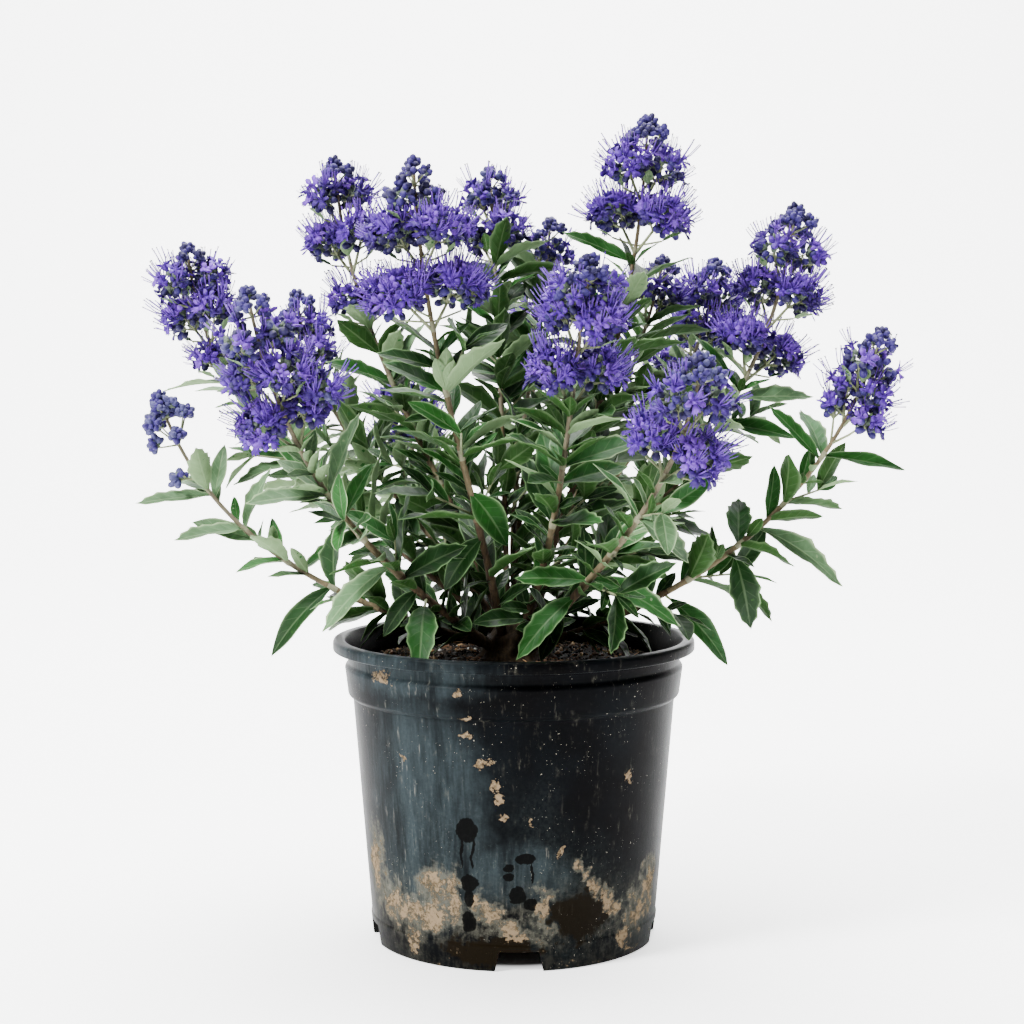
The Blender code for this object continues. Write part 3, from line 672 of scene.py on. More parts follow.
def scatter(name, shapes, points, turns, sizes, kinds, tints, finishes):
    # finishes is a list of (part of the shape, tint or None, material)
    mesh = bpy.data.meshes.new(name)
    mesh.from_pydata([tuple(point) for point in points], [], [])
    for label, kind, values in (("turn", "FLOAT_VECTOR", turns), ("stretch", "FLOAT_VECTOR", sizes)):
        layer = mesh.attributes.new(label, kind, "POINT")
        layer.data.foreach_set("vector", np.array(values, dtype=np.float32).ravel())
    for label, values in (("kind", kinds), ("tint", tints)):
        layer = mesh.attributes.new(label, "INT", "POINT")
        layer.data.foreach_set("value", np.array(values, dtype=np.int32))
    made = bpy.data.objects.new(name, mesh)
    bpy.context.scene.collection.objects.link(made)
    group = bpy.data.collections.new(name + " shapes")
    for index, shape in enumerate(shapes):
        shape.name = name + "Shape" + str(index).zfill(2)
        for user in list(shape.users_collection):
            user.objects.unlink(shape)
        group.objects.link(shape)
    tree = bpy.data.node_groups.new(name + " scatter", "GeometryNodeTree")
    tree.interface.new_socket("Geometry", in_out="INPUT", socket_type="NodeSocketGeometry")
    shapeInput = tree.interface.new_socket("Shapes", in_out="INPUT", socket_type="NodeSocketCollection")
    scaleInput = tree.interface.new_socket("Scale", in_out="INPUT", socket_type="NodeSocketFloat")
    tree.interface.new_socket("Geometry", in_out="OUTPUT", socket_type="NodeSocketGeometry")
    nodes, links = tree.nodes, tree.links
    source = nodes.new("NodeGroupInput")
    result = nodes.new("NodeGroupOutput")

    def named(label, kind):
        node = nodes.new("GeometryNodeInputNamedAttribute")
        node.data_type = kind
        node.inputs["Name"].default_value = label
        return node.outputs["Attribute"]

    collection = nodes.new("GeometryNodeCollectionInfo")
    collection.inputs["Separate Children"].default_value = True
    collection.inputs["Reset Children"].default_value = True
    links.new(source.outputs["Shapes"], collection.inputs["Collection"])
    toRotation = nodes.new("FunctionNodeEulerToRotation")
    links.new(named("turn", "FLOAT_VECTOR"), toRotation.inputs[0])
    grow = nodes.new("ShaderNodeVectorMath")
    grow.operation = "SCALE"
    links.new(named("stretch", "FLOAT_VECTOR"), grow.inputs[0])
    links.new(source.outputs["Scale"], grow.inputs["Scale"])
    place = nodes.new("GeometryNodeInstanceOnPoints")
    place.inputs["Pick Instance"].default_value = True
    links.new(source.outputs["Geometry"], place.inputs["Points"])
    links.new(collection.outputs[0], place.inputs["Instance"])
    links.new(named("kind", "INT"), place.inputs["Instance Index"])
    links.new(toRotation.outputs[0], place.inputs["Rotation"])
    links.new(grow.outputs[0], place.inputs["Scale"])
    realize = nodes.new("GeometryNodeRealizeInstances")
    links.new(place.outputs[0], realize.inputs[0])
    flow = realize.outputs[0]
    for part, tint, finish in finishes:
        chosen = nodes.new("FunctionNodeCompare")
        chosen.data_type = "INT"
        chosen.operation = "EQUAL"
        links.new(named("part", "INT"), chosen.inputs[2])
        chosen.inputs[3].default_value = part
        selection = chosen.outputs[0]
        if tint is not None:
            tinted = nodes.new("FunctionNodeCompare")
            tinted.data_type = "INT"
            tinted.operation = "EQUAL"
            links.new(named("tint", "INT"), tinted.inputs[2])
            tinted.inputs[3].default_value = tint
            both = nodes.new("FunctionNodeBooleanMath")
            both.operation = "AND"
            links.new(selection, both.inputs[0])
            links.new(tinted.outputs[0], both.inputs[1])
            selection = both.outputs[0]
        setFinish = nodes.new("GeometryNodeSetMaterial")
        setFinish.inputs["Material"].default_value = finish
        links.new(flow, setFinish.inputs["Geometry"])
        links.new(selection, setFinish.inputs["Selection"])
        flow = setFinish.outputs[0]
    links.new(flow, result.inputs[0])
    modifier = made.modifiers.new("scatter", "NODES")
    modifier.node_group = tree
    modifier[shapeInput.identifier] = group
    modifier[scaleInput.identifier] = 1.0
    bpy.context.view_layer.update()
    evaluated = made.evaluated_get(bpy.context.evaluated_depsgraph_get())
    plain = bpy.data.meshes.new_from_object(evaluated)
    made.modifiers.clear()
    old = made.data
    made.data = plain
    bpy.data.meshes.remove(old)
    plain.name = name
    tidySlots(plain)
    plain.shade_smooth()
    for shape in shapes:
        bpy.data.objects.remove(shape, do_unlink=True)
    bpy.data.collections.remove(group)
    bpy.data.node_groups.remove(tree)
    print(name, len(plain.polygons), "faces,", len(plain.materials), "finishes")
    return made


def markParts(shape, parts):  # which part of the shape each face belongs to
    layer = shape.data.attributes.new("part", "INT", "FACE")
    layer.data.foreach_set("value", parts)
    return shape


def turnTo(direction, upper):  # Euler angles that lay +X along direction with +Z towards upper
    direction = direction.normalized()
    upper = (upper - direction * upper.dot(direction)).normalized()
    side = upper.cross(direction)
    matrix = Matrix((direction, side, upper)).transposed()
    return matrix.to_euler("XYZ")


# Leaves
# deep and mid also serve as painted shade for leaves inside the crown and low down; fresh and grey also serve as
# painted light for leaves on the crown's edge and its lit left side
leafLook = {
    "deep": (0.0012, 0.0175, 0.0004), "mid": (0.0046, 0.0410, 0.0032), "fresh": (0.015, 0.077, 0.013),
    "grey": (0.060, 0.121, 0.052), "shade": (0.012, 0.043, 0.005), "under": (0.114, 0.182, 0.083),
    "rim": (0.110, 0.200, 0.078), "edge": (0.250, 0.355, 0.180),
    "teeth": 0.08, "fold": 0.42, "thickness": 0.008, "veins": 6.0, "veinLean": 1.2,
}


def leafFinish(name, colour, rough, vary, veined):
    surface = Surface(name, colour, rough)
    surface.shader.inputs["Specular IOR Level"].default_value = 0.15
    blade = surface.node("ShaderNodeUVMap", {"uv_map": "blade"})
    along = surface.node("ShaderNodeSeparateXYZ", {}, {"Vector": blade})
    aside = Flow(surface, along.socket.node.outputs[1])
    fromRib = surface.node("ShaderNodeMath", {"operation": "ABSOLUTE"}, {0: aside * 2.0 - 1.0})
    step = surface.node("ShaderNodeMath", {"operation": "FRACT"},
                        {0: along * leafLook["veins"] - fromRib * leafLook["veinLean"]})
    offVein = surface.node("ShaderNodeMath", {"operation": "ABSOLUTE"}, {0: step - 0.5})
    vein = (0.5 - offVein).between(0.07, 0.0) * (1.0 - fromRib).between(0.0, 0.35)
    rib = (0.11 - fromRib).between(0.0, 0.07)
    grain = surface.noise(260, 4)
    cloud = surface.noise(38, 2)
    share = grain * 0.45 + cloud * 0.75 - 0.1
    darker = tuple(value * (1 - vary) for value in colour)
    lighter = tuple(min(1.0, value * (1 + vary) + 0.002) for value in colour)
    tone = surface.mix(share.between(0.2, 0.8), darker, lighter)
    paleRim = fromRib.between(0.70, 1.0) * (veined * 2.8)
    lines = (vein * veined).most(rib * (veined + 0.08)).most(paleRim)
    surface.feed("Base Color", surface.mix(lines, tone, leafLook["edge"]))
    surface.feed("Roughness", cloud * 0.25 + (rough - 0.12))
    surface.bump(offVein * 1.2 - rib * 0.5 + grain * 0.3, 0.00030, 0.8)
    return surface.material


leafFinishes = {name: leafFinish("leaf " + name, leafLook[name], rough, vary, veined)
                for name, rough, vary, veined in (
                    ("deep", 0.46, 0.4, 0.05), ("mid", 0.48, 0.4, 0.07), ("fresh", 0.52, 0.38, 0.11),
                    ("grey", 0.62, 0.38, 0.22), ("shade", 0.7, 0.3, 0.06), ("under", 0.8, 0.18, 0.12),
                    ("rim", 0.6, 0.2, 0.0), ("edge", 0.7, 0.14, 0.0))}


def leafShape(stations, teeth, arch, sway):
    # a closed thin blade along +X: columns are edge, margin, rib, rib, margin, edge
    columns = (-1.0, -0.92, -0.026, 0.026, 0.92, 1.0)
    points = []
    places = []
    for sheet in (0, 1):
        for station in range(stations + 1):
            s = 1.0 - (1.0 - station / stations) ** 1.22  # closer together towards the tip
            half = 0.5 * math.sin(math.pi * min(1.0, s * 1.01 + 0.01)) ** (0.95 if s < 0.5 else 0.62)
            half = max(half, 0.045 if s < 0.5 else 0.006)
            if teeth and 0.42 < s < 0.96:
                half *= 1.0 + leafLook["teeth"] * (1 if station % 2 else -1)
            for share in columns:
                y = half * share
                rise = abs(y) * leafLook["fold"] * (1.15 - 0.7 * s)
                wave = 0.022 * math.sin(s * 11.0 + sway * 20 + (1.7 if share > 0 else 0.0)) * abs(share)
                z = -arch * s ** 2 + rise * 0.36 + wave * (1.0 - abs(2 * s - 1) ** 3)
                thick = leafLook["thickness"] * (0.35 if abs(share) == 1.0 else 1.0)
                lean = 0.028 if teeth and abs(share) == 1.0 and station % 2 else 0.0
                bend = sway * s ** 2
                points.append((s + lean, y + bend, z - (thick if sheet else 0.0)))
                places.append((s, 0.5 + 0.5 * share))
    faces = []
    parts = []
    size = (stations + 1) * 6
    for sheet in (0, 1):
        for station in range(stations):
            for column in range(5):
                low = sheet * size + station * 6 + column
                corner = (low, low + 6, low + 7, low + 1)
                faces.append(corner if sheet == 0 else corner[::-1])
                if sheet == 1:
                    parts.append(1)
                else:
                    parts.append(2 if column in (0, 4) else 0)
    for station in range(stations):
        for column, turned in ((0, True), (5, False)):
            low = station * 6 + column
            side = (low, low + 6, low + 6 + size, low + size)
            faces.append(side[::-1] if turned else side)
            parts.append(2)
    for station, turned in ((0, False), (stations, True)):
        for column in range(5):
            low = station * 6 + column
            end = (low, low + 1, low + 1 + size, low + size)
            faces.append(end[::-1] if turned else end)
            parts.append(2)
    shape = makeMesh("leafShape", points, faces, [])
    recalculated = bmesh.new()
    recalculated.from_mesh(shape.data)
    bmesh.ops.recalc_face_normals(recalculated, faces=recalculated.faces)
    recalculated.to_mesh(shape.data)
    recalculated.free()
    layer = shape.data.uv_layers.new(name="blade")
    for loop in shape.data.loops:
        layer.data[loop.index].uv = places[loop.vertex_index]
    shape.data.set_sharp_from_angle(angle=math.radians(42))
    return markParts(shape, parts)


def placeLeaves(name, list_, stations, seed):
    chance = random.Random(seed)
    shapes = [leafShape(stations, teeth, arch, sway) for teeth in (False, True)
              for arch, sway in ((0.05, 0.03), (0.12, -0.03), (0.19, 0.04), (0.45, 0.03))]
    turns, sizes, kinds, tints = [], [], [], []
    for blade in list_:
        turns.append(turnTo(blade.direction, blade.upper))
        sizes.append((blade.length, blade.width, blade.length))
        bend = min(3, max(0, round((blade.arch - 0.05) / 0.07)))
        toothed = 4 if blade.length > 0.036 and chance.random() < 0.75 else 0
        kinds.append(bend + toothed)
        # leaves inside the crown and low down get the dark tints as painted shade; leaves at its edge and on the
        # left, the lit side, get the pale grey tints as painted light; young leaves high on the stem are paler too
        outward = math.hypot(blade.foot.x, blade.foot.y) / (0.05 + (blade.foot.z - soilLevel) * 0.55)
        low = max(0.0, 0.27 - blade.foot.z)
        young = (0.60 * blade.share + 0.30 * min(outward, 1.0) - 0.65 * blade.foot.x - 2.0 * low
                 + chance.uniform(-0.20, 0.20))
        tints.append(0 if young < 0.34 else 1 if young < 0.52 else 2 if young < 0.62 else 3)
    finishes = []
    for tint, (upper, lower, margin) in enumerate((("deep", "shade", "rim"), ("mid", "shade", "rim"),
                                                   ("fresh", "under", "edge"), ("grey", "under", "edge"))):
        finishes.append((0, tint, leafFinishes[upper]))
        finishes.append((1, tint, leafFinishes[lower]))
        finishes.append((2, tint, leafFinishes[margin]))
    feet = [blade.foot for blade in list_]
    return scatter(name, shapes, feet, turns, sizes, kinds, tints, finishes)


bigLeaves = placeLeaves("leaves", blades, 11, 5)
littleLeaves = [placeLeaves("smallLeaves" + str(half + 1), smallBlades[half::2], 7, 6 + half)
                for half in (0, 1)]
foliageNodes = ["foliage_" + stem.name for stem in stemPlans]
blossomNodes = ["blossom_" + stem.name for stem in stemPlans]
boughNodes = ["bough_" + stem.name for stem in stemPlans] + ["crown"]
linkPiece(bigLeaves, "leaf", *foliageNodes)
for some in littleLeaves:
    linkPiece(some, "leaf", *foliageNodes)


# Flowers and buds
flowerLook = {
    # petal tints: the petal's own colour, a lighter copy used as painted light and a darker copy used as painted
    # shade
    "petal": ((0.060, 0.0098, 0.242), (0.118, 0.031, 0.362), (0.023, 0.0030, 0.112)),
    "bud": ((0.022, 0.012, 0.105), (0.042, 0.040, 0.125), (0.009, 0.005, 0.046)),
    "calyx": (0.085, 0.115, 0.080), "filament": (0.090, 0.026, 0.290), "anther": (0.010, 0.005, 0.026),
    "flowerSize": 0.0118, "budSize": 0.0048, "stamenLength": 0.0136,
    "flowerRoom": 0.0070, "budRoom": 0.0048, "beyond": 0.0065,
}


def softFinish(name, colour, rough, vary, scale=420, **fixed):
    surface = Surface(name, colour, rough, **fixed)
    surface.shader.inputs["Specular IOR Level"].default_value = 0.25
    grain = surface.noise(scale, 3)
    darker = tuple(value * (1 - vary) for value in colour)
    lighter = tuple(min(1.0, value * (1 + vary) + 0.01) for value in colour)
    surface.feed("Base Color", surface.mix(grain.between(0.3, 0.7), darker, lighter))
    surface.feed("Roughness", grain * 0.2 + (rough - 0.1))
    surface.bump(grain, 0.0003, 0.5)
    return surface.material


petalFinishes = [softFinish("petal " + str(index), colour, 0.55, 0.3, Specular_IOR_Level=0.35)
                 for index, colour in enumerate(flowerLook["petal"])]
budFinishes = [softFinish("bud " + str(index), colour, 0.6, 0.3)
               for index, colour in enumerate(flowerLook["bud"])]
calyxFinish = softFinish("calyx", flowerLook["calyx"], 0.85, 0.3)
filamentFinish = softFinish("filament", flowerLook["filament"], 0.5, 0.2)
antherFinish = softFinish("anther", flowerLook["anther"], 0.7, 0.3)


def joinShapes(pieces):  # list of (points, faces, part)
    points, faces, parts = [], [], []
    for some, their, part in pieces:
        start = len(points)
        points.extend(some)
        faces.extend(tuple(index + start for index in face) for face in their)
        parts.extend([part] * len(their))
    shape = makeMesh("flowerShape", points, faces, [])
    recalculated = bmesh.new()
    recalculated.from_mesh(shape.data)
    bmesh.ops.recalc_face_normals(recalculated, faces=recalculated.faces)
    recalculated.to_mesh(shape.data)
    recalculated.free()
    return markParts(shape, parts)


def petal(turn, length, width, forward, droop, twist, fringed):
    # a thin closed lobe that leaves the tube's mouth, in flower units: +X is out of the flower
    spin = Matrix.Rotation(turn, 3, "X")
    outline = ((0.0, -0.13), (0.46, -0.50), (0.92, -0.26), (1.0, 0.14), (0.50, 0.50), (0.0, 0.13))
    if fringed:
        outline = ((0.0, -0.13), (0.44, -0.46), (0.88, -0.52), (0.70, -0.22), (1.08, -0.16), (0.78, 0.04),
                   (1.02, 0.26), (0.70, 0.30), (0.80, 0.54), (0.40, 0.46), (0.0, 0.13))
    points = []
    for lift in (0.0, -0.04):
        for reach, side in outline:
            cup = 0.10 * abs(side) + twist * side
            points.append(spin @ Vector((0.34 + cup + forward * reach - droop * reach ** 2 + lift,
                                         side * width, 0.12 + reach * length)))
    count = len(outline)
    faces = [tuple(range(count)), tuple(range(2 * count - 1, count - 1, -1))]
    for step in range(count):
        after = (step + 1) % count
        faces.append((step, step + count, after + count, after))
    return points, faces


def turnedTube(rows, sides):
    return tube([Vector((x, 0, 0)) for x, radius in rows], [radius for x, radius in rows], sides)


def flowerShape(seed):
    chance = random.Random(seed)
    pieces = [(*turnedTube(((-0.34, 0.04), (-0.20, 0.14), (0.02, 0.16)), 5), 1),
              (*turnedTube(((-0.04, 0.10), (0.20, 0.12), (0.35, 0.19)), 5), 0)]
    for step in range(5):
        turn = math.tau * (step + 0.5) / 5 + chance.uniform(-0.16, 0.16)
        lower = step == 2
        length = (0.46 if lower else 0.36) * chance.uniform(0.88, 1.14)
        pieces.append((*petal(turn, length, 0.43 if lower else 0.31, chance.uniform(0.05, 0.30),
                              chance.uniform(-0.10, 0.28), chance.uniform(-0.22, 0.22), lower), 0))
    return joinShapes(pieces)


def stamenShape(seed):
    chance = random.Random(seed)
    pieces = []
    for step in range(5):
        angle = math.tau * step / 5 + chance.uniform(-0.4, 0.4)
        spread = chance.uniform(0.06, 0.30)
        reach = chance.uniform(0.78, 1.08)
        side = Vector((0, math.cos(angle), math.sin(angle)))
        foot = Vector((0.1, 0, 0)) + side * 0.03
        middle = Vector((0.5 * reach, 0, 0)) + side * spread * 0.75
        end = Vector((reach, 0, 0)) + side * spread + Vector((0, 0, chance.uniform(-0.02, 0.14)))
        pieces.append((*tube([foot, middle, end], [0.027, 0.025, 0.021], 3), 0))
        if step < 4:
            ball = [end + Vector(corner) * 0.042 for corner in
                    ((1, 0, 0), (-1, 0, 0), (0, 1, 0), (0, -1, 0), (0, 0, 1), (0, 0, -1))]
            corners = [(0, 2, 4), (2, 1, 4), (1, 3, 4), (3, 0, 4), (2, 0, 5), (1, 2, 5), (3, 1, 5), (0, 3, 5)]
            pieces.append((ball, corners, 1))
    return joinShapes(pieces)


def budShape(seed, long):
    pieces = [(*turnedTube(((-0.10, 0.20), (0.10, 0.40), (0.42 + long * 0.5, 0.49), (0.76 + long, 0.40),
                            (0.97 + long, 0.12)), 6), 0),
              (*turnedTube(((-0.62, 0.07), (0.08, 0.42)), 5), 1)]
    return joinShapes(pieces)


flowerPoints = {"foot": [], "turn": [], "size": [], "kind": [], "tint": []}
stamenPoints = {"foot": [], "turn": [], "size": [], "kind": [], "tint": []}
budPoints = {"foot": [], "turn": [], "size": [], "kind": [], "tint": []}


def put(store, foot, direction, upper, size, kind, tint):
    store["foot"].append(foot)
    store["turn"].append(turnTo(direction, upper))
    store["size"].append((size, size, size))
    store["kind"].append(kind)
    store["tint"].append(tint)


# how far the flowers are open, tier by tier from the top: 0 is all buds
openShares = {
    "low_left": (0.0, 0.0), "centre_left": (0.0, 0.75, 0.85), "rear_centre": (0.35, 0.6),
    "far_right": (0.20, 0.5), "front_right": (0.25, 0.70), "front_left": (0.20, 0.55, 0.75),
    "rear_right": (0.3,), "front_centre": (0.35, 0.70, 0.8), "upper_right": (0.40, 0.75, 0.8),
}
usualShares = (0.55, 0.78, 0.80)
dustyStems = ("low_left", "front_left", "front_right", "rear_centre")


def spreadOver(count, low, high, chance):
    # directions spread evenly over a dome, as (height, angle); height 1 is the dome's top
    start = chance.uniform(0, math.tau)
    for number in range(count):
        height = high - (high - low) * (number + 0.5) / count
        yield min(1.0, height + chance.uniform(-0.05, 0.05)), start + number * 2.39996 + chance.uniform(-0.22, 0.22)


def jitter(chance, most):
    return Vector([chance.uniform(-most, most) for _ in range(3)])


class Dome:  # the round outline that one cyme fills
    def __init__(self, centre, up, ahead, wide, broad, tall):
        self.centre = centre
        self.up = up.normalized()
        self.ahead = (ahead - self.up * ahead.dot(self.up)).normalized()
        self.beside = self.up.cross(self.ahead)
        self.wide = wide
        self.broad = broad
        self.tall = tall
        self.area = math.pi * (wide * broad + (wide + broad) / 2 * tall)

    def at(self, height, angle, share):  # a place on it, or inside it where the share is under 1
        level = math.sqrt(max(0.0, 1.0 - height ** 2)) * share
        return (self.ahead * math.cos(angle) * level * self.wide
                + self.beside * math.sin(angle) * level * self.broad + self.up * height * self.tall * share)

    def holds(self, spot):
        offset = spot - self.centre
        return ((offset.dot(self.ahead) / self.wide) ** 2 + (offset.dot(self.beside) / self.broad) ** 2
                + (offset.dot(self.up) / self.tall) ** 2) < 0.62


def putBud(spot, direction, chance, share, tint):
    grown = flowerLook["budSize"] * share * chance.uniform(0.82, 1.14)
    spot = spot - direction * grown * 0.75
    put(budPoints, spot, direction, direction.orthogonal() + jitter(chance, 0.3), grown, chance.randrange(3), tint)
    return spot


def roomFor(spot, direction, length):  # keeps what grows outward near the source's outline
    for axis, (low, high) in enumerate(zip(*cadBounds)):
        edge = high if direction[axis] > 0 else low
        if abs(direction[axis]) > 0.1:
            length = min(length, abs(edge - spot[axis] + math.copysign(flowerLook["beyond"], direction[axis]))
                         / abs(direction[axis]))
    return length


def putFlower(spot, direction, up, chance, tint):
    grown = flowerLook["flowerSize"] * chance.uniform(0.82, 1.14)
    spot = spot - direction * grown * 0.30
    upper = up + jitter(chance, 0.3)
    put(flowerPoints, spot, direction, upper, grown, chance.randrange(4), tint)
    if chance.random() < 0.85:
        rising = (direction + up * 0.30 + Vector((0, 0, 0.2))).normalized()
        foot = spot + direction * 0.002
        length = roomFor(foot, rising, flowerLook["stamenLength"] * chance.uniform(0.75, 1.2))
        put(stamenPoints, foot, rising, upper, length, chance.randrange(4), 0)
    return spot


def fillDome(dome, twin, hub, chance, openShare, shades):
    # one cyme: flowers over its top, buds round its rim and under it, all on stalks from the hub
    opened = round(dome.area * openShare / flowerLook["flowerRoom"] ** 2)
    closed = round(dome.area * (1.5 - openShare) / flowerLook["budRoom"] ** 2 * 0.42)
    highest = 0.75 - openShare * 0.75
    forks = [dome.centre + dome.at(-0.30, math.tau * (step + 0.5) / 4, 0.60) for step in range(4)]
    for fork in forks:
        twigs.append(([hub, fork], 0.0008, 0.0006))
    for kind, count, low, high in (("open", opened, -0.15, 0.99), ("bud", closed, -0.80, highest)):
        for height, angle in spreadOver(count, low, high, chance):
            inner = chance.uniform(0.84, 1.0) if kind == "open" else chance.uniform(0.72, 0.98)
            surface = dome.at(height, angle, inner)
            spot = dome.centre + surface
            lift = 0.30 if kind == "open" else 0.05
            direction = (surface.normalized() * 0.8 + dome.up * lift + jitter(chance, 0.28)).normalized()
            if twin and twin.holds(spot):
                continue
            if kind == "open":
                # flowers high on the cyme may take the light petal tint as painted light; lower ones take mostly
                # the dark petal tint as painted shade
                tint = chance.choice((0, 0, 1, 1, 2)) if height > 0.2 else chance.choice((0, 2, 2))
                spot = putFlower(spot, direction, dome.up, chance, tint)
            else:
                spot = putBud(spot, direction, chance, 1.0, chance.choice(shades))
            if height < 0.5 and chance.random() < 0.7:
                fork = min(forks, key=lambda place: (place - spot).length_squared)
                twigs.append(([fork, spot], 0.00045, 0.0004))


def fillKnots(tier, chance, count, sizes, lifts, shades):
    # a young top: small knots of buds on short stalks, one in the middle and the rest round it
    ahead = lobeLine(tier)
    beside = tier.axis.cross(ahead)
    knots = [(tier.centre + tier.axis * tier.height * 0.30, tier.axis, tier.radius * sizes[1] * 1.15)]
    for step in range(count):
        angle = math.tau * (step + chance.uniform(-0.12, 0.12)) / count
        outward = ahead * math.cos(angle) + beside * math.sin(angle)
        size = tier.radius * chance.uniform(*sizes)
        knots.append((tier.centre + outward * tier.radius * 0.70 + tier.axis * tier.height * lifts[step % 2],
                      (tier.axis + outward * 0.7).normalized(), size))
    for place, up, size in knots:
        dome = Dome(place, up, ahead + beside * 0.3, size, size, size)
        joint = place - up * size * 0.7
        twigs.append(([tier.foot, joint], 0.0007, 0.0005))
        room = 4 * math.pi * size ** 2 * 0.72
        for height, angle in spreadOver(round(room / (flowerLook["budRoom"] * 0.90) ** 2), -0.50, 0.99, chance):
            surface = dome.at(height, angle, chance.uniform(0.80, 1.0))
            direction = (surface.normalized() + up * 0.30 + jitter(chance, 0.2)).normalized()
            spot = putBud(place + surface, direction, chance, chance.uniform(0.74, 0.96), chance.choice(shades))
            twigs.append(([joint, spot], 0.0004, 0.0004))


def lobeLine(tier):  # across the view, so that the two cymes of a tier stand side by side
    line = Matrix.Rotation(math.radians(26 if tier.level % 2 else -26), 3, "Z") @ Vector((1, 0, 0))
    return (line - tier.axis * line.dot(tier.axis)).normalized()


def fillTier(tier, index):
    chance = random.Random("tier " + str(index))
    shares = openShares.get(tier.stem, usualShares)
    closed = tier.stem == "low_left"
    young = (0, 0, 1, 1) if closed else (0, 0, 1, 2) if tier.stem in dustyStems else (0, 0, 2)
    ahead = lobeLine(tier)
    if tier.level == 0:
        fillKnots(tier, chance, 5, (0.31, 0.37), (0.02, -0.30), young)
        return
    if tier.level == 9:  # a small cluster on its own stalk
        dome = Dome(tier.centre, tier.axis + Vector((0, 0, 0.6)), ahead, tier.radius * 0.9, tier.radius * 0.9,
                    tier.radius * 0.8)
        fillDome(dome, None, tier.foot, chance, 0.0 if closed else 0.55, young)
        return
    if closed:
        fillKnots(tier, chance, 7, (0.25, 0.31), (0.16, -0.22), young)
        return
    opened = shares[min(tier.level - 1, len(shares) - 1)]
    domes = []
    for side in (1, -1):
        centre = tier.centre + ahead * side * tier.radius * 0.46 - tier.axis * tier.height * 0.06
        domes.append(Dome(centre, tier.axis + ahead * side * 0.40, ahead * side, tier.radius * 0.44,
                          tier.radius * 0.64, min(tier.height * 0.46, tier.radius * 0.56)))
    for side, dome, twin in ((1, *domes), (-1, *domes[::-1])):
        outward = ahead * side
        hub = tier.foot + outward * tier.radius * 0.30 + tier.axis * tier.height * 0.10
        twigs.append(([tier.foot - tier.axis * 0.012, hub], 0.0011, 0.0009))
        fillDome(dome, twin, hub, chance, opened, young if opened < 0.5 else (0, 2, 2))
        # the small leaf under each cyme
        foot = tier.foot + outward * tier.radius * 0.50 - tier.axis * 0.003
        twigs.append(([tier.foot - tier.axis * 0.007, foot], 0.0007, 0.0006))
        length = 0.0105 + tier.radius * 0.10
        direction = outward * 0.8 + tier.axis * 0.65 + jitter(chance, 0.2)
        smallBracts.append(Blade(foot, direction, tier.axis * 0.7 - outward * 0.7, length, length * 0.62,
                                 0.05, 0.95))
    # and on some the oval one that stands in front, between two tiers
    if chance.random() < 0.5:
        return
    front = Vector((chance.uniform(-0.7, 0.7), -1, 0))
    foot = tier.foot + front * tier.radius * 0.30
    length = chance.uniform(0.0085, 0.0120)
    twigs.append(([tier.foot - tier.axis * 0.004, foot], 0.0007, 0.0006))
    smallBracts.append(Blade(foot, tier.axis + front * chance.uniform(0.2, 0.6), tier.axis * 0.4 - front, length,
                             length * 0.72, 0.05, 0.9))


smallBracts = []
for index, tier in enumerate(tiers):
    fillTier(tier, index)
print("flowers:", len(flowerPoints["foot"]), "buds:", len(budPoints["foot"]),
      "stamens:", len(stamenPoints["foot"]))


def placeFlowers(name, store, shapes, finishes):
    return scatter(name, shapes, store["foot"], store["turn"], store["size"], store["kind"],
                   store["tint"], finishes)


petalParts = [(0, tint, finish) for tint, finish in enumerate(petalFinishes)] + [(1, None, calyxFinish)]
flowerHalves = [{key: rows[half::2] for key, rows in flowerPoints.items()} for half in (0, 1)]
flowers = [placeFlowers("flowers" + str(half + 1), rows, [flowerShape(seed) for seed in range(4)], petalParts)
           for half, rows in enumerate(flowerHalves)]
stamens = placeFlowers("stamens", stamenPoints, [stamenShape(seed) for seed in range(4)],
                       [(0, None, filamentFinish), (1, None, antherFinish)])
budParts = [(0, tint, finish) for tint, finish in enumerate(budFinishes)] + [(1, None, calyxFinish)]
budShapes = [budShape(seed, long) for seed, long in ((1, 0.0), (2, 0.25), (3, 0.1))]
buds = placeFlowers("buds", budPoints, budShapes, budParts)
bracts = placeLeaves("bracts", smallBracts, 5, 9)
for some in flowers:
    linkPiece(some, "blossom", *blossomNodes)
linkPiece(stamens, "blossom", *blossomNodes)
linkPiece(buds, "blossom", *blossomNodes)
linkPiece(bracts, "leaf", *blossomNodes)


# Stems: bark on the old wood, felted shoots above, with a pale joint at each pair of leaves
stemLook = {
    "wood": (0.042, 0.027, 0.013), "tan": (0.092, 0.071, 0.037), "shoot": (0.122, 0.103, 0.064),
    "felt": (0.165, 0.162, 0.100), "twig": (0.190, 0.215, 0.115),
    "brownStems": ("centre_left", "far_right", "tallest"),
    "ringStep": 0.0022, "tipCut": 0.0090, "sides": 10,
}


def stemFinish(name, colour, rough, vary, stretchUp, depth):
    surface = Surface(name, colour, rough)
    surface.shader.inputs["Specular IOR Level"].default_value = 0.25
    lined = surface.node("ShaderNodeMapping", {}, {"Vector": surface.place(), "Scale": (1, 1, stretchUp)})
    streak = surface.noise(420, 5, 0.65, lined)
    patch = surface.noise(90, 3)
    dark = tuple(value * (1 - vary) for value in colour)
    light = tuple(min(1.0, value * (1 + vary)) for value in colour)
    surface.feed("Base Color", surface.mix((streak * 0.7 + patch * 0.3).between(0.34, 0.66), dark, light))
    surface.feed("Roughness", streak * 0.2 + (rough - 0.1))
    surface.bump(streak, depth, 0.8)
    return surface.material


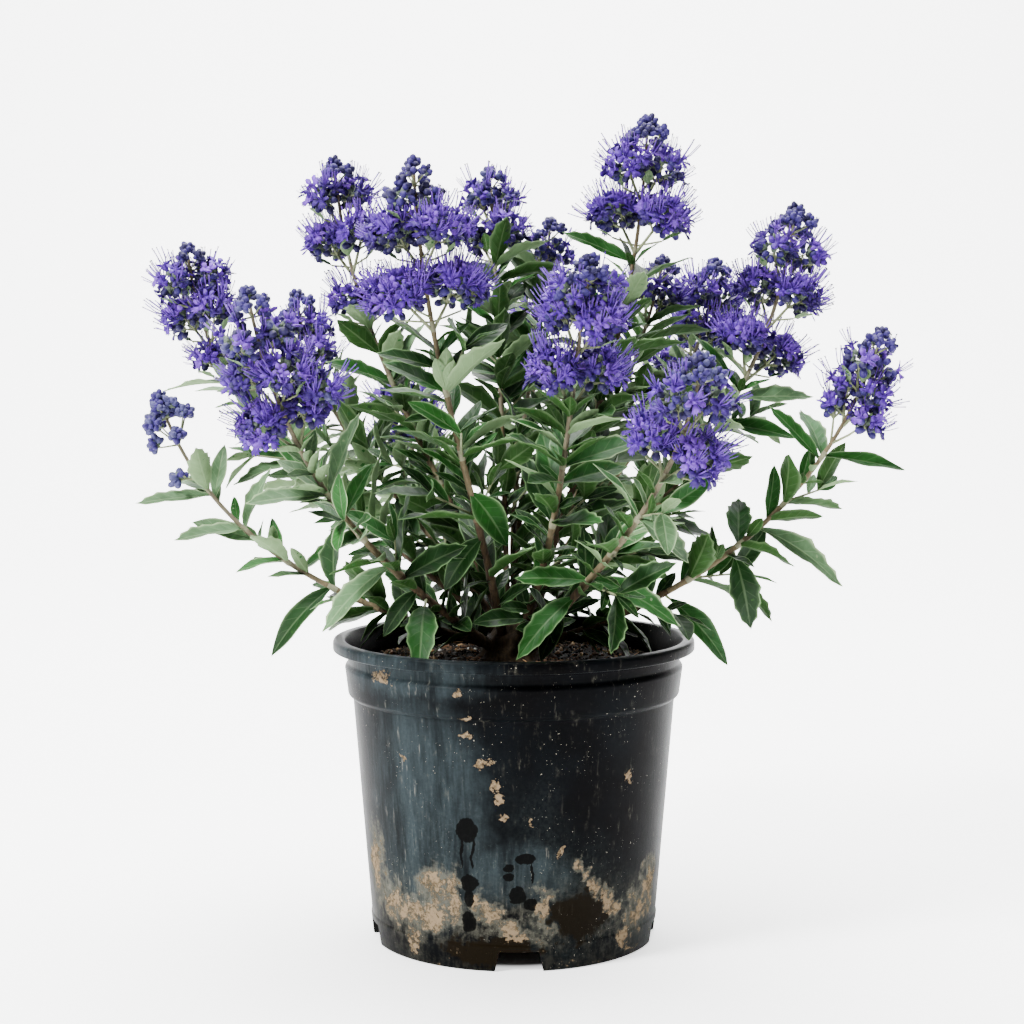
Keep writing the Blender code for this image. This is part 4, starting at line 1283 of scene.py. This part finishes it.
stemFinishes = [
    stemFinish("old bark", stemLook["wood"], 0.85, 0.55, 0.25, 0.0009),
    stemFinish("young bark", stemLook["tan"], 0.75, 0.35, 0.3, 0.0005),
    stemFinish("shoot skin", stemLook["shoot"], 0.65, 0.28, 0.4, 0.0003),
    stemFinish("felted joint", stemLook["felt"], 0.85, 0.2, 1.0, 0.0003),
    stemFinish("twig skin", stemLook["twig"], 0.75, 0.25, 1.0, 0.0002),
]


def makeStems():
    points, faces, parts = [], [], []
    for stem, path, bare, bloom in plans:
        sides = stemLook["sides"]
        count = int(path.length / stemLook["ringStep"])
        joints = max(2, round((bloom - bare - 0.010) / nodeSpacing))
        spacing = (bloom - bare - 0.010) / joints
        end = path.length - stemLook["tipCut"]
        distances = [end * step / count - 0.008 * (step == 0) for step in range(count + 1)]
        centres, radii = [], []
        for distance in distances:
            near = abs((distance - bare - 0.005 + spacing / 2) % spacing - spacing / 2)
            swell = 1.0 + 0.28 * math.exp(-(near / 0.0022) ** 2) * (bare < distance < bloom + 0.01)
            swell *= 1.0 + 0.06 * noise.noise(path.at(distance) * 130)
            flare = 1.0 + 0.30 * math.exp(-max(distance, 0) / 0.010)
            centres.append(path.at(max(distance, 0)) - path.direction(0.002) * (0.008 if distance < 0 else 0))
            radii.append(path.radius(max(distance, 0)) * swell * flare)
        some, their = tube(centres, radii, sides)
        for index in range(len(some)):
            ring = min(index // sides, count)
            centre = centres[ring]
            bumpy = 1.0 + 0.10 * noise.noise(some[index] * Vector((700, 700, 170))[0])
            some[index] = centre + (some[index] - centre) * bumpy
        start = len(points)
        points.extend(some)
        skin = 1 if stem.name in stemLook["brownStems"] else 2
        for number, face in enumerate(their):
            faces.append(tuple(index + start for index in face))
            ring = min(number // sides, count)
            distance = distances[ring]
            share = distance / path.length + 0.05 * noise.noise(path.at(max(distance, 0)) * 60)
            near = abs((distance - bare - 0.005 + spacing / 2) % spacing - spacing / 2)
            if bare < distance < bloom + 0.01 and near < 0.003 and share > 0.3:
                parts.append(3)
            else:
                parts.append(0 if share < 0.27 else 1 if share < 0.46 else skin)
    return makeMesh("stems", points, faces, stemFinishes, parts)


def makeTwigs():
    points, faces = [], []
    for spots, thick, thin in twigs:
        radii = [thick + (thin - thick) * step / (len(spots) - 1) for step in range(len(spots))]
        some, their = tube(spots, radii, 5 if thick > 0.0006 else 3)
        start = len(points)
        points.extend(some)
        faces.extend(tuple(index + start for index in face) for face in their)
    return makeMesh("twigs", points, faces, [stemFinishes[4]])


def makeCrown():
    # the woody base: a knuckled mound with ridges that run down into the roots
    points, faces = [], []
    sides, steps = 48, 22
    for step in range(steps + 1):
        share = step / steps
        height = crownHeight * 1.02 * share
        if share < 0.35:
            radius = crownFootRadius + (crownRadius - crownFootRadius) * (share / 0.35) ** 0.6
        else:
            radius = crownRadius * math.cos((share - 0.35) / 0.65 * 1.25) ** 0.8
        for side in range(sides):
            angle = math.tau * side / sides
            ridge = 0.10 * math.sin(5 * angle + 1) + 0.06 * math.sin(9 * angle + share * 3)
            spot = Vector((math.cos(angle), math.sin(angle), share * 2))
            knuckle = 0.10 * noise.noise(spot * 2.2) + 0.05 * noise.noise(spot * 6)
            reach = radius * (1.0 + ridge * (1.1 - share) + knuckle)
            points.append(Vector((reach * math.cos(angle), reach * math.sin(angle), soilLevel + clear + height)))
    points.append(Vector((0, 0, soilLevel + clear)))
    points.append(Vector((0, 0, soilLevel + clear + crownHeight * 1.04)))
    for step in range(steps):
        for side in range(sides):
            low = step * sides + side
            after = step * sides + (side + 1) % sides
            faces.append((low, after, after + sides, low + sides))
    top = steps * sides
    for side in range(sides):
        after = (side + 1) % sides
        faces.append((len(points) - 2, after, side))
        faces.append((top + side, top + after, len(points) - 1))
    return makeMesh("crownWood", points, faces, [stemFinishes[0]])


stems = makeStems()
crownWood = makeCrown()
twigPiece = makeTwigs()
linkPiece(stems, "bark", *boughNodes)
linkPiece(crownWood, "bark", "crown")
linkPiece(twigPiece, "bark", *foliageNodes)
print("stems and twigs made")


# Pot
potLook = {
    "plastic": (0.0008, 0.0008, 0.0009), "sheen": (0.0014, 0.0022, 0.0030), "mud": (0.172, 0.124, 0.074),
    "darkMud": (0.062, 0.044, 0.024), "film": (0.105, 0.101, 0.078), "dust": (0.036, 0.044, 0.040),
    # blue-grey tint of scuffed plastic, partly a painted sheen on the pot's left side and lip
    "scuffSheenTint": (0.034, 0.047, 0.052),
    "stained": (0.0050, 0.0034, 0.0014), "wet": (0.0008, 0.0008, 0.0007), "segments": 144, "wall": 0.0016,
    "lipTop": 0.1833, "lipBottom": 0.1765, "mouthRadius": 0.1030, "neckRadius": 0.1005,
    "neckHeight": 0.1690, "collarTopRadius": 0.1029, "collarBottomRadius": 0.1008,
    "collarBottom": 0.1500, "bodyTopRadius": 0.0979, "baseRadius": 0.0862,
    "channel": (0.0480, 0.0780, 0.0080), "floor": 0.0025,
    "notches": (92, 193, 272, 351), "notchHeight": 0.0120, "notchTop": 0.0230, "notchBottom": 0.0290,
}


def roundedProfile(corners):
    # each corner is (radius, height, rounding); a rounded corner becomes a short arc
    made = []
    for index, (radius, height, rounding) in enumerate(corners):
        here = Vector((radius, height))
        if rounding == 0 or index in (0, len(corners) - 1):
            made.append(here)
            continue
        before = Vector(corners[index - 1][:2]) - here
        after = Vector(corners[index + 1][:2]) - here
        cut = min(rounding, before.length * 0.45, after.length * 0.45)
        start = here + before.normalized() * cut
        end = here + after.normalized() * cut
        for step in range(5):
            t = step / 4
            made.append(start * (1 - t) ** 2 + here * 2 * t * (1 - t) + end * t ** 2)
    return made


def makePot():
    look = potLook
    inner, outer, rise = look["channel"]
    wall = look["wall"]
    corners = [
        (0.0, 0.0, 0), (inner, 0.0, 0.001), (inner + 0.003, rise, 0.001), (outer - 0.003, rise, 0.001),
        (outer, 0.0, 0.0008), (look["baseRadius"], 0.0, 0.0014),
        (look["baseRadius"] + 0.0016, 0.0150, 0.0006), (look["baseRadius"] + 0.0011, 0.0162, 0.0004),
        (look["bodyTopRadius"], look["collarBottom"] - 0.0022, 0.0006),
        (look["collarBottomRadius"], look["collarBottom"], 0.0012),
        (look["collarTopRadius"], look["neckHeight"] - 0.0022, 0.0012),
        (look["neckRadius"] + 0.0004, look["neckHeight"], 0.0008),
        (look["neckRadius"] + 0.0012, look["lipBottom"], 0.0006),
        (lipRadius, look["lipBottom"], 0.0012), (lipRadius, look["lipTop"], 0.0024),
        (look["mouthRadius"], look["lipTop"], 0.0014),
        (look["neckRadius"] + 0.0004 - wall, look["neckHeight"], 0.0010),
        (look["bodyTopRadius"] - wall, look["collarBottom"] - 0.004, 0.001),
        (look["baseRadius"] - wall, rise + look["floor"], 0), (inner, rise + look["floor"], 0),
        (inner - 0.004, look["floor"], 0), (0.0, look["floor"], 0),
    ]
    profile = roundedProfile(corners)
    segments = look["segments"]
    points = [Vector((0, 0, profile[0].y))]
    for spot in profile[1:-1]:
        for segment in range(segments):
            angle = math.tau * segment / segments
            dent = 0.00035 * math.sin(2 * angle + 0.7) * min(1.0, spot.y / 0.18)
            radius = spot.x + (dent if spot.x > 0.08 else 0.0)
            points.append(Vector((radius * math.cos(angle), radius * math.sin(angle), spot.y)))
    points.append(Vector((0, 0, profile[-1].y)))
    ringCount = len(profile) - 2
    faces = []
    for segment in range(segments):
        after = (segment + 1) % segments
        faces.append((0, 1 + after, 1 + segment))
        for ring in range(ringCount - 1):
            low = 1 + ring * segments
            faces.append((low + segment, low + after, low + after + segments, low + segment + segments))
        top = 1 + (ringCount - 1) * segments
        faces.append((top + segment, top + after, len(points) - 1))
    pot = makeMesh("potShell", points, faces, [])
    cutters = []
    for azimuth in look["notches"]:
        low, high = look["notchBottom"] / 2, look["notchTop"] / 2
        outline = ((-low, -0.002), (low, -0.002), (high, look["notchHeight"]), (-high, look["notchHeight"]))
        corner = [Vector((distance, side, height)) for distance in (outer - 0.0105, look["baseRadius"] + 0.01)
                  for side, height in outline]
        turn = Matrix.Rotation(math.radians(azimuth), 4, "Z")
        box = [(3, 2, 1, 0), (4, 5, 6, 7), (0, 1, 5, 4), (1, 2, 6, 5), (2, 3, 7, 6), (3, 0, 4, 7)]
        cutters.append(makeMesh("notch", [turn @ point for point in corner], box, [], smooth=False))
    group = bpy.data.collections.new("notches")
    for cutter in cutters:
        bpy.context.scene.collection.objects.unlink(cutter)
        group.objects.link(cutter)
    cut = pot.modifiers.new("notches", "BOOLEAN")
    cut.operation = "DIFFERENCE"
    cut.operand_type = "COLLECTION"
    cut.collection = group
    cut.solver = "EXACT"
    bpy.context.view_layer.update()
    mesh = bpy.data.meshes.new_from_object(pot.evaluated_get(bpy.context.evaluated_depsgraph_get()))
    pot.modifiers.clear()
    pot.data = mesh
    for cutter in cutters:
        bpy.data.objects.remove(cutter, do_unlink=True)
    bpy.data.collections.remove(group)
    mesh.shade_smooth()
    mesh.set_sharp_from_angle(angle=math.radians(38))
    return pot


# Mud and water by place: azimuth, height, half width, half height, in degrees and metres
mudPatches = (
    (240, 0.047, 0.014, 0.013), (233, 0.029, 0.018, 0.009), (248, 0.041, 0.006, 0.017),
    (206, 0.052, 0.010, 0.022), (217, 0.033, 0.010, 0.014), (228, 0.011, 0.009, 0.010),
    (260, 0.036, 0.007, 0.007), (268, 0.026, 0.012, 0.006), (281, 0.036, 0.005, 0.013),
    (274, 0.019, 0.010, 0.005), (297, 0.059, 0.005, 0.006), (303, 0.047, 0.006, 0.007),
    (309, 0.036, 0.006, 0.008), (334, 0.038, 0.011, 0.018), (323, 0.025, 0.009, 0.013),
    (319, 0.012, 0.006, 0.009), (20, 0.030, 0.030, 0.018), (75, 0.026, 0.034, 0.016),
    (130, 0.040, 0.022, 0.026), (160, 0.028, 0.020, 0.014),
)
clodPatches = (
    (221, 0.168, 0.011, 0.0034), (253, 0.164, 0.0030, 0.0030), (254, 0.150, 0.0034, 0.0016),
    (253, 0.140, 0.0030, 0.0018), (260, 0.123, 0.0060, 0.0042), (263, 0.111, 0.0034, 0.0048),
    (265, 0.102, 0.0016, 0.0048), (267, 0.092, 0.0015, 0.0030), (276, 0.088, 0.0015, 0.0022),
    (288, 0.071, 0.0026, 0.0030), (314, 0.109, 0.0030, 0.0044), (229, 0.122, 0.0018, 0.0016),
    (110, 0.120, 0.0060, 0.0090),
)
wetPatches = (
    (253, 0.085, 0.0064, 0.0082), (251, 0.069, 0.0010, 0.0110), (255, 0.069, 0.0010, 0.0110),
    (254, 0.052, 0.0058, 0.0052), (254, 0.042, 0.0032, 0.0070), (253, 0.030, 0.0045, 0.0068),
    (275, 0.067, 0.0080, 0.0040), (268, 0.062, 0.0034, 0.0022), (268, 0.057, 0.0036, 0.0026),
    (271, 0.046, 0.0056, 0.0066), (276, 0.040, 0.0038, 0.0036), (277, 0.059, 0.0010, 0.0068),
)


def potFinish():
    look = potLook
    surface = Surface("pot plastic", look["plastic"], 0.38)
    surface.shader.inputs["Specular IOR Level"].default_value = 0.016
    place = surface.place()
    split = surface.node("ShaderNodeSeparateXYZ", {}, {"Vector": place})
    x = split
    y = Flow(surface, split.socket.node.outputs[1])
    z = Flow(surface, split.socket.node.outputs[2])

    warp = (surface.noise(55, 3) - 0.5) * 0.040
    twist = (surface.noise(140, 3, 0.7) - 0.5) * 0.016

    def patches(rows, warped=1.0):
        whole = None
        for azimuth, height, wide, tall in rows:
            angle = math.radians(azimuth)
            side = y * math.cos(angle) - x * math.sin(angle) + (warp + twist) * warped
            front = (x * math.cos(angle) + y * math.sin(angle)).between(0.02, 0.05)
            over = z - height + (twist - warp * 0.5) * warped
            far = (side / wide) * (side / wide) + (over / tall) * (over / tall)
            one = (2.0 - far).most(0.0) * front - 1.0
            whole = one if whole is None else whole.most(one)
        return whole

    coarse = surface.noise(75, 6, 0.65)
    ragged = surface.noise(170, 5, 0.75)
    fine = surface.noise(480, 5, 0.7)
    speck = surface.noise(900, 2, 0.5)
    cloudy = surface.noise(16, 3)
    drawn = surface.node("ShaderNodeMapping", {}, {"Vector": place, "Scale": (1, 1, 0.12)})
    streaky = surface.noise(60, 4, 0.6, drawn)
    scratch = surface.noise(420, 3, 0.6, drawn)
    broken = coarse * 0.5 + ragged * 0.5

    # thin mud films with thicker crusts in them, small clods, and splashes near the foot
    spread = patches(mudPatches)
    film = (spread + (broken - 0.5) * 3.0 + (scratch - 0.5) * 1.5).between(-0.85, 0.55) * 0.80
    haze = (0.064 - z).between(0.0, 0.045) * (ragged * 0.6 + scratch * 0.4).between(0.42, 0.62) * 0.38
    film = film.most(haze) * (z.between(0.008, 0.026) * 0.7 + 0.3)
    crust = (spread * 0.9 + (broken * 0.7 + fine * 0.3 - 0.5) * 8.0 - 0.35).between(0.0, 0.35) * 0.9
    clods = (patches(clodPatches, 0.5) + (ragged * 0.6 + fine * 0.4 - 0.5) * 8.0 - 0.25).between(0.0, 0.35)
    foot = (0.050 - z).between(-0.015, 0.05)
    splash = (foot * 0.45 + broken * 2.0 - 1.62).between(0.0, 0.14) * 0.8
    mud = crust.most(clods).most(splash)
    stain = (patches(((295, 0.030, 0.020, 0.016), (262, 0.012, 0.030, 0.010)), 0.8)
             + (broken - 0.5) * 4.0).between(0.0, 0.4)
    dot = (speck - 0.715).between(0.0, 0.03) * (surface.noise(30, 2) - 0.47).between(0.0, 0.1)
    lines = (scratch - 0.63).between(0.0, 0.10) * (surface.noise(26, 2) - 0.48).between(0.0, 0.1)
    wet = (patches(wetPatches, 0.20) + (coarse - 0.5) * 2.2).between(0.10, 0.30)
    # scuffed plastic on the left side and on the lip, partly painted sheen: the blue-grey tint there stands in for
    # the key light's reflection and the lip highlight
    scuffAndSheen = patches(((234, 0.100, 0.040, 0.060), (232, 0.060, 0.044, 0.038), (270, 0.058, 0.030, 0.018),
                    (228, 0.174, 0.060, 0.016)), 0.5).between(-0.7, 0.9)
    scuffAndSheen = scuffAndSheen * (streaky.between(0.32, 0.68) * 0.75 + scratch.between(0.35, 0.7) * 0.35 + 0.15)
    grains = (fine - 0.56).between(0.0, 0.12) * scuffAndSheen * (0.115 - z).between(0.0, 0.05)
    dust = (cloudy - 0.42).between(0.0, 0.35) * (0.16 - z).between(0.0, 0.12) * 0.35

    base = surface.mix(cloudy.between(0.3, 0.7), look["plastic"], look["sheen"])
    base = surface.mix(scuffAndSheen * (fine * 0.6 + 0.25), base, look["scuffSheenTint"])
    base = surface.mix((dust * fine.between(0.3, 0.75)).most(grains * 0.8), base, look["dust"])
    base = surface.mix(stain * 0.9, base, look["stained"])
    tone = surface.mix((fine * 0.5 + coarse * 0.5).between(0.42, 0.56), look["darkMud"], look["mud"])
    base = surface.mix(film * (ragged.between(0.3, 0.7) * 0.6 + 0.4) * (1 - stain), base, look["film"])
    base = surface.mix(mud, base, tone)
    base = surface.mix((dot * 0.6).most(lines * (scuffAndSheen * 0.20 + 0.03)), base, (0.40, 0.37, 0.30))
    base = surface.mix(wet * 0.96, base, look["wet"])
    surface.feed("Base Color", base)
    surface.feed("Roughness", 0.28 + cloudy * 0.14 + dust * 0.3 + mud * 0.45 + film * 0.3 - wet * 0.14)
    surface.bump(mud * 1.2 + fine * 0.10 + scratch * 0.08 + coarse * 0.15, 0.0010, 0.7)
    return surface.material


potShell = makePot()
potShell.data.materials.clear()
potShell.data.materials.append(potFinish())
linkPiece(potShell, "pot_plastic", "pot")
print("pot made")


# Soil with bark chips, perlite and straw
soilLook = {
    "damp": (0.007, 0.005, 0.004), "dry": (0.022, 0.014, 0.009), "crumb": (0.013, 0.009, 0.006), "chip": ((0.150, 0.068, 0.026),
    (0.084, 0.046, 0.023), (0.250, 0.148, 0.070)), "perlite": (0.700, 0.690, 0.650), "chips": 380,
    "perlites": 60, "straws": 26, "crumbs": 1500,
}


def soilHeight(radius, angle):
    spot = Vector((radius * math.cos(angle), radius * math.sin(angle), 0.3))
    fall = soilLevel - 0.0042 * (radius / 0.0975) ** 2
    return fall + 0.0016 * noise.noise(spot * 55) + 0.0008 * noise.noise(spot * 190)


def makeSoil():
    segments, steps = 120, 34
    outer = 0.0982
    points = [Vector((0, 0, 0.0030))]
    wallRows = [(0.0425, 0.0030), (0.0470, 0.0110), (0.0840, 0.0110), (0.0955, 0.1450), (outer, 0.1640)]
    for radius, height in wallRows:
        for segment in range(segments):
            angle = math.tau * segment / segments
            points.append(Vector((radius * math.cos(angle), radius * math.sin(angle), height)))
    for step in range(steps):
        radius = outer * (1 - step / steps)
        for segment in range(segments):
            angle = math.tau * segment / segments
            points.append(Vector((radius * math.cos(angle), radius * math.sin(angle),
                                  soilHeight(radius, angle))))
    points.append(Vector((0, 0, soilLevel)))
    count = len(wallRows) + steps
    faces = []
    for segment in range(segments):
        after = (segment + 1) % segments
        faces.append((0, 1 + after, 1 + segment))
        for ring in range(count - 1):
            low = 1 + ring * segments
            faces.append((low + segment, low + after, low + after + segments, low + segment + segments))
        top = 1 + (count - 1) * segments
        faces.append((top + segment, top + after, len(points) - 1))
    surface = Surface("potting soil", soilLook["damp"], 0.92)
    surface.shader.inputs["Specular IOR Level"].default_value = 0.05
    grain = surface.noise(320, 6, 0.7)
    clod = surface.noise(70, 4)
    surface.feed("Base Color", surface.mix((grain * 0.7 + clod * 0.4).between(0.42, 0.75),
                                           soilLook["damp"], soilLook["dry"]))
    surface.feed("Roughness", clod * 0.3 + 0.7)
    surface.bump(grain + clod, 0.0016, 0.9)
    return makeMesh("soilSurface", points, faces, [surface.material])


def lumpShape(seed, long, flat):
    shape = bmesh.new()
    bmesh.ops.create_icosphere(shape, subdivisions=1, radius=0.5)
    chance = random.Random(seed)
    for vertex in shape.verts:
        vertex.co = Vector((vertex.co.x, vertex.co.y * long, vertex.co.z * flat)) * chance.uniform(0.75, 1.15)
    mesh = bpy.data.meshes.new("lump")
    shape.to_mesh(mesh)
    shape.free()
    made = bpy.data.objects.new("lump", mesh)
    bpy.context.scene.collection.objects.link(made)
    return markParts(made, [0] * len(mesh.polygons))


def strewSoil():
    chance = random.Random(31)
    store = {"foot": [], "turn": [], "size": [], "kind": [], "tint": []}
    rows = (("chips", 0.0022, 0.0070, (0, 1), (0, 1, 1, 2)), ("perlites", 0.0012, 0.0030, (2,), (3,)),
            ("straws", 0.0080, 0.0180, (3,), (2,)), ("crumbs", 0.0010, 0.0032, (2,), (4, 4, 4, 1)))
    for label, small, large, kinds, tints in rows:
        for _ in range(soilLook[label]):
            radius = 0.0965 * math.sqrt(chance.random())
            angle = chance.uniform(0, math.tau)
            if radius < crownFootRadius * 0.9:
                continue
            size = chance.uniform(small, large)
            spot = Vector((radius * math.cos(angle), radius * math.sin(angle),
                           soilHeight(radius, angle) + size * 0.12))
            store["foot"].append(spot)
            store["turn"].append((chance.uniform(-0.5, 0.5), chance.uniform(-0.5, 0.5), chance.uniform(0, 6.3)))
            store["size"].append((size, size, size))
            store["kind"].append(chance.choice(kinds))
            store["tint"].append(chance.choice(tints))
    shapes = [lumpShape(1, 0.6, 0.25), lumpShape(2, 0.45, 0.4), lumpShape(3, 0.9, 0.8), lumpShape(4, 0.06, 0.05)]
    finishes = [(0, tint, softFinish("bark chip " + str(tint), colour, 0.8, 0.4, 300,
                                     Specular_IOR_Level=0.10))
                for tint, colour in enumerate(soilLook["chip"])]
    finishes.append((0, 3, softFinish("perlite", soilLook["perlite"], 0.9, 0.1, 300)))
    finishes.append((0, 4, softFinish("soil crumb", soilLook["crumb"], 0.95, 0.5, 300,
                                        Specular_IOR_Level=0.05)))
    return placeFlowers("soilBits", store, shapes, finishes)


soilSurface = makeSoil()
soilBits = strewSoil()
linkPiece(soilSurface, "soil", "soil")
linkPiece(soilBits, "soil", "soil")
print("soil made")


# Floor, light and camera
studio = {
    "cameraPlace": (-0.0011, -1.2444, 0.3571), "cameraPitch": 4.486, "lens": 72.11, "floor": (0.90, 0.90, 0.90),
    "skyStrength": 0.13, "glow": 1.35,
    "lights": (("key", (-1.60, -1.15, 1.95), 0.6, 196, (0, 0, 0.25)),
               ("top", (0.2, 0.6, 2.7), 2.0, 120, (0, 0.2, 0)),
               ("wall", (0, 1.0, 2.9), 2.4, 300, (0, 2.4, 0.6)),
               ("fill", (1.7, -1.3, 0.9), 1.4, 5, (0, 0, 0.25))),
}


def makeStudio():
    points, faces = [], []
    depths = [-3.0, -1.0, 0.0, 1.2] + [1.2 + 1.2 * math.sin(step / 10 * math.pi / 2) for step in range(1, 11)]
    heights = [0.0, 0.0, 0.0, 0.0] + [1.2 * (1 - math.cos(step / 10 * math.pi / 2)) for step in range(1, 11)]
    depths.append(2.4)
    heights.append(4.0)
    for depth, height in zip(depths, heights):
        points.append((-4, depth, height))
        points.append((4, depth, height))
    for step in range(len(depths) - 1):
        faces.append((2 * step, 2 * step + 1, 2 * step + 3, 2 * step + 2))
    surface = Surface("backdrop", studio["floor"], 0.9)
    paper = surface.noise(60, 3)
    surface.feed("Base Color", surface.mix(paper, tuple(value * 0.985 for value in studio["floor"]),
                                           studio["floor"]))
    # the backdrop glows as painted light, though it is no lamp; within about 7.5 cm of the pot's axis the glow is
    # cut out, a painted shadow under the pot
    far = surface.node("ShaderNodeVectorMath", {"operation": "LENGTH"}, {0: surface.place()}, 1)
    surface.feed("Emission Color", surface.mix(far.between(0.070, 0.080), (0, 0, 0), (1, 1, 1)))
    surface.shader.inputs["Emission Strength"].default_value = studio["glow"]
    floor = makeMesh("backdrop", points, faces, [surface.material])
    world = bpy.data.worlds.new("studio")
    bpy.context.scene.world = world
    world.use_nodes = True
    world.node_tree.nodes["Background"].inputs["Color"].default_value = (1.0, 1.0, 1.0, 1)
    world.node_tree.nodes["Background"].inputs["Strength"].default_value = studio["skyStrength"]
    for name, spot, size, power, target in studio["lights"]:
        light = bpy.data.lights.new(name, "AREA")
        light.size = size
        light.energy = power
        holder = bpy.data.objects.new(name, light)
        bpy.context.scene.collection.objects.link(holder)
        holder.location = spot
        aim = Vector(target) - Vector(spot)
        holder.rotation_euler = aim.to_track_quat("-Z", "Y").to_euler()
    camera = bpy.data.cameras.new("photo")
    camera.lens = studio["lens"]
    camera.sensor_width = 36
    holder = bpy.data.objects.new("photo", camera)
    bpy.context.scene.collection.objects.link(holder)
    holder.location = studio["cameraPlace"]
    holder.rotation_euler = (math.radians(90 - studio["cameraPitch"]), 0, 0)
    bpy.context.scene.camera = holder


makeStudio()
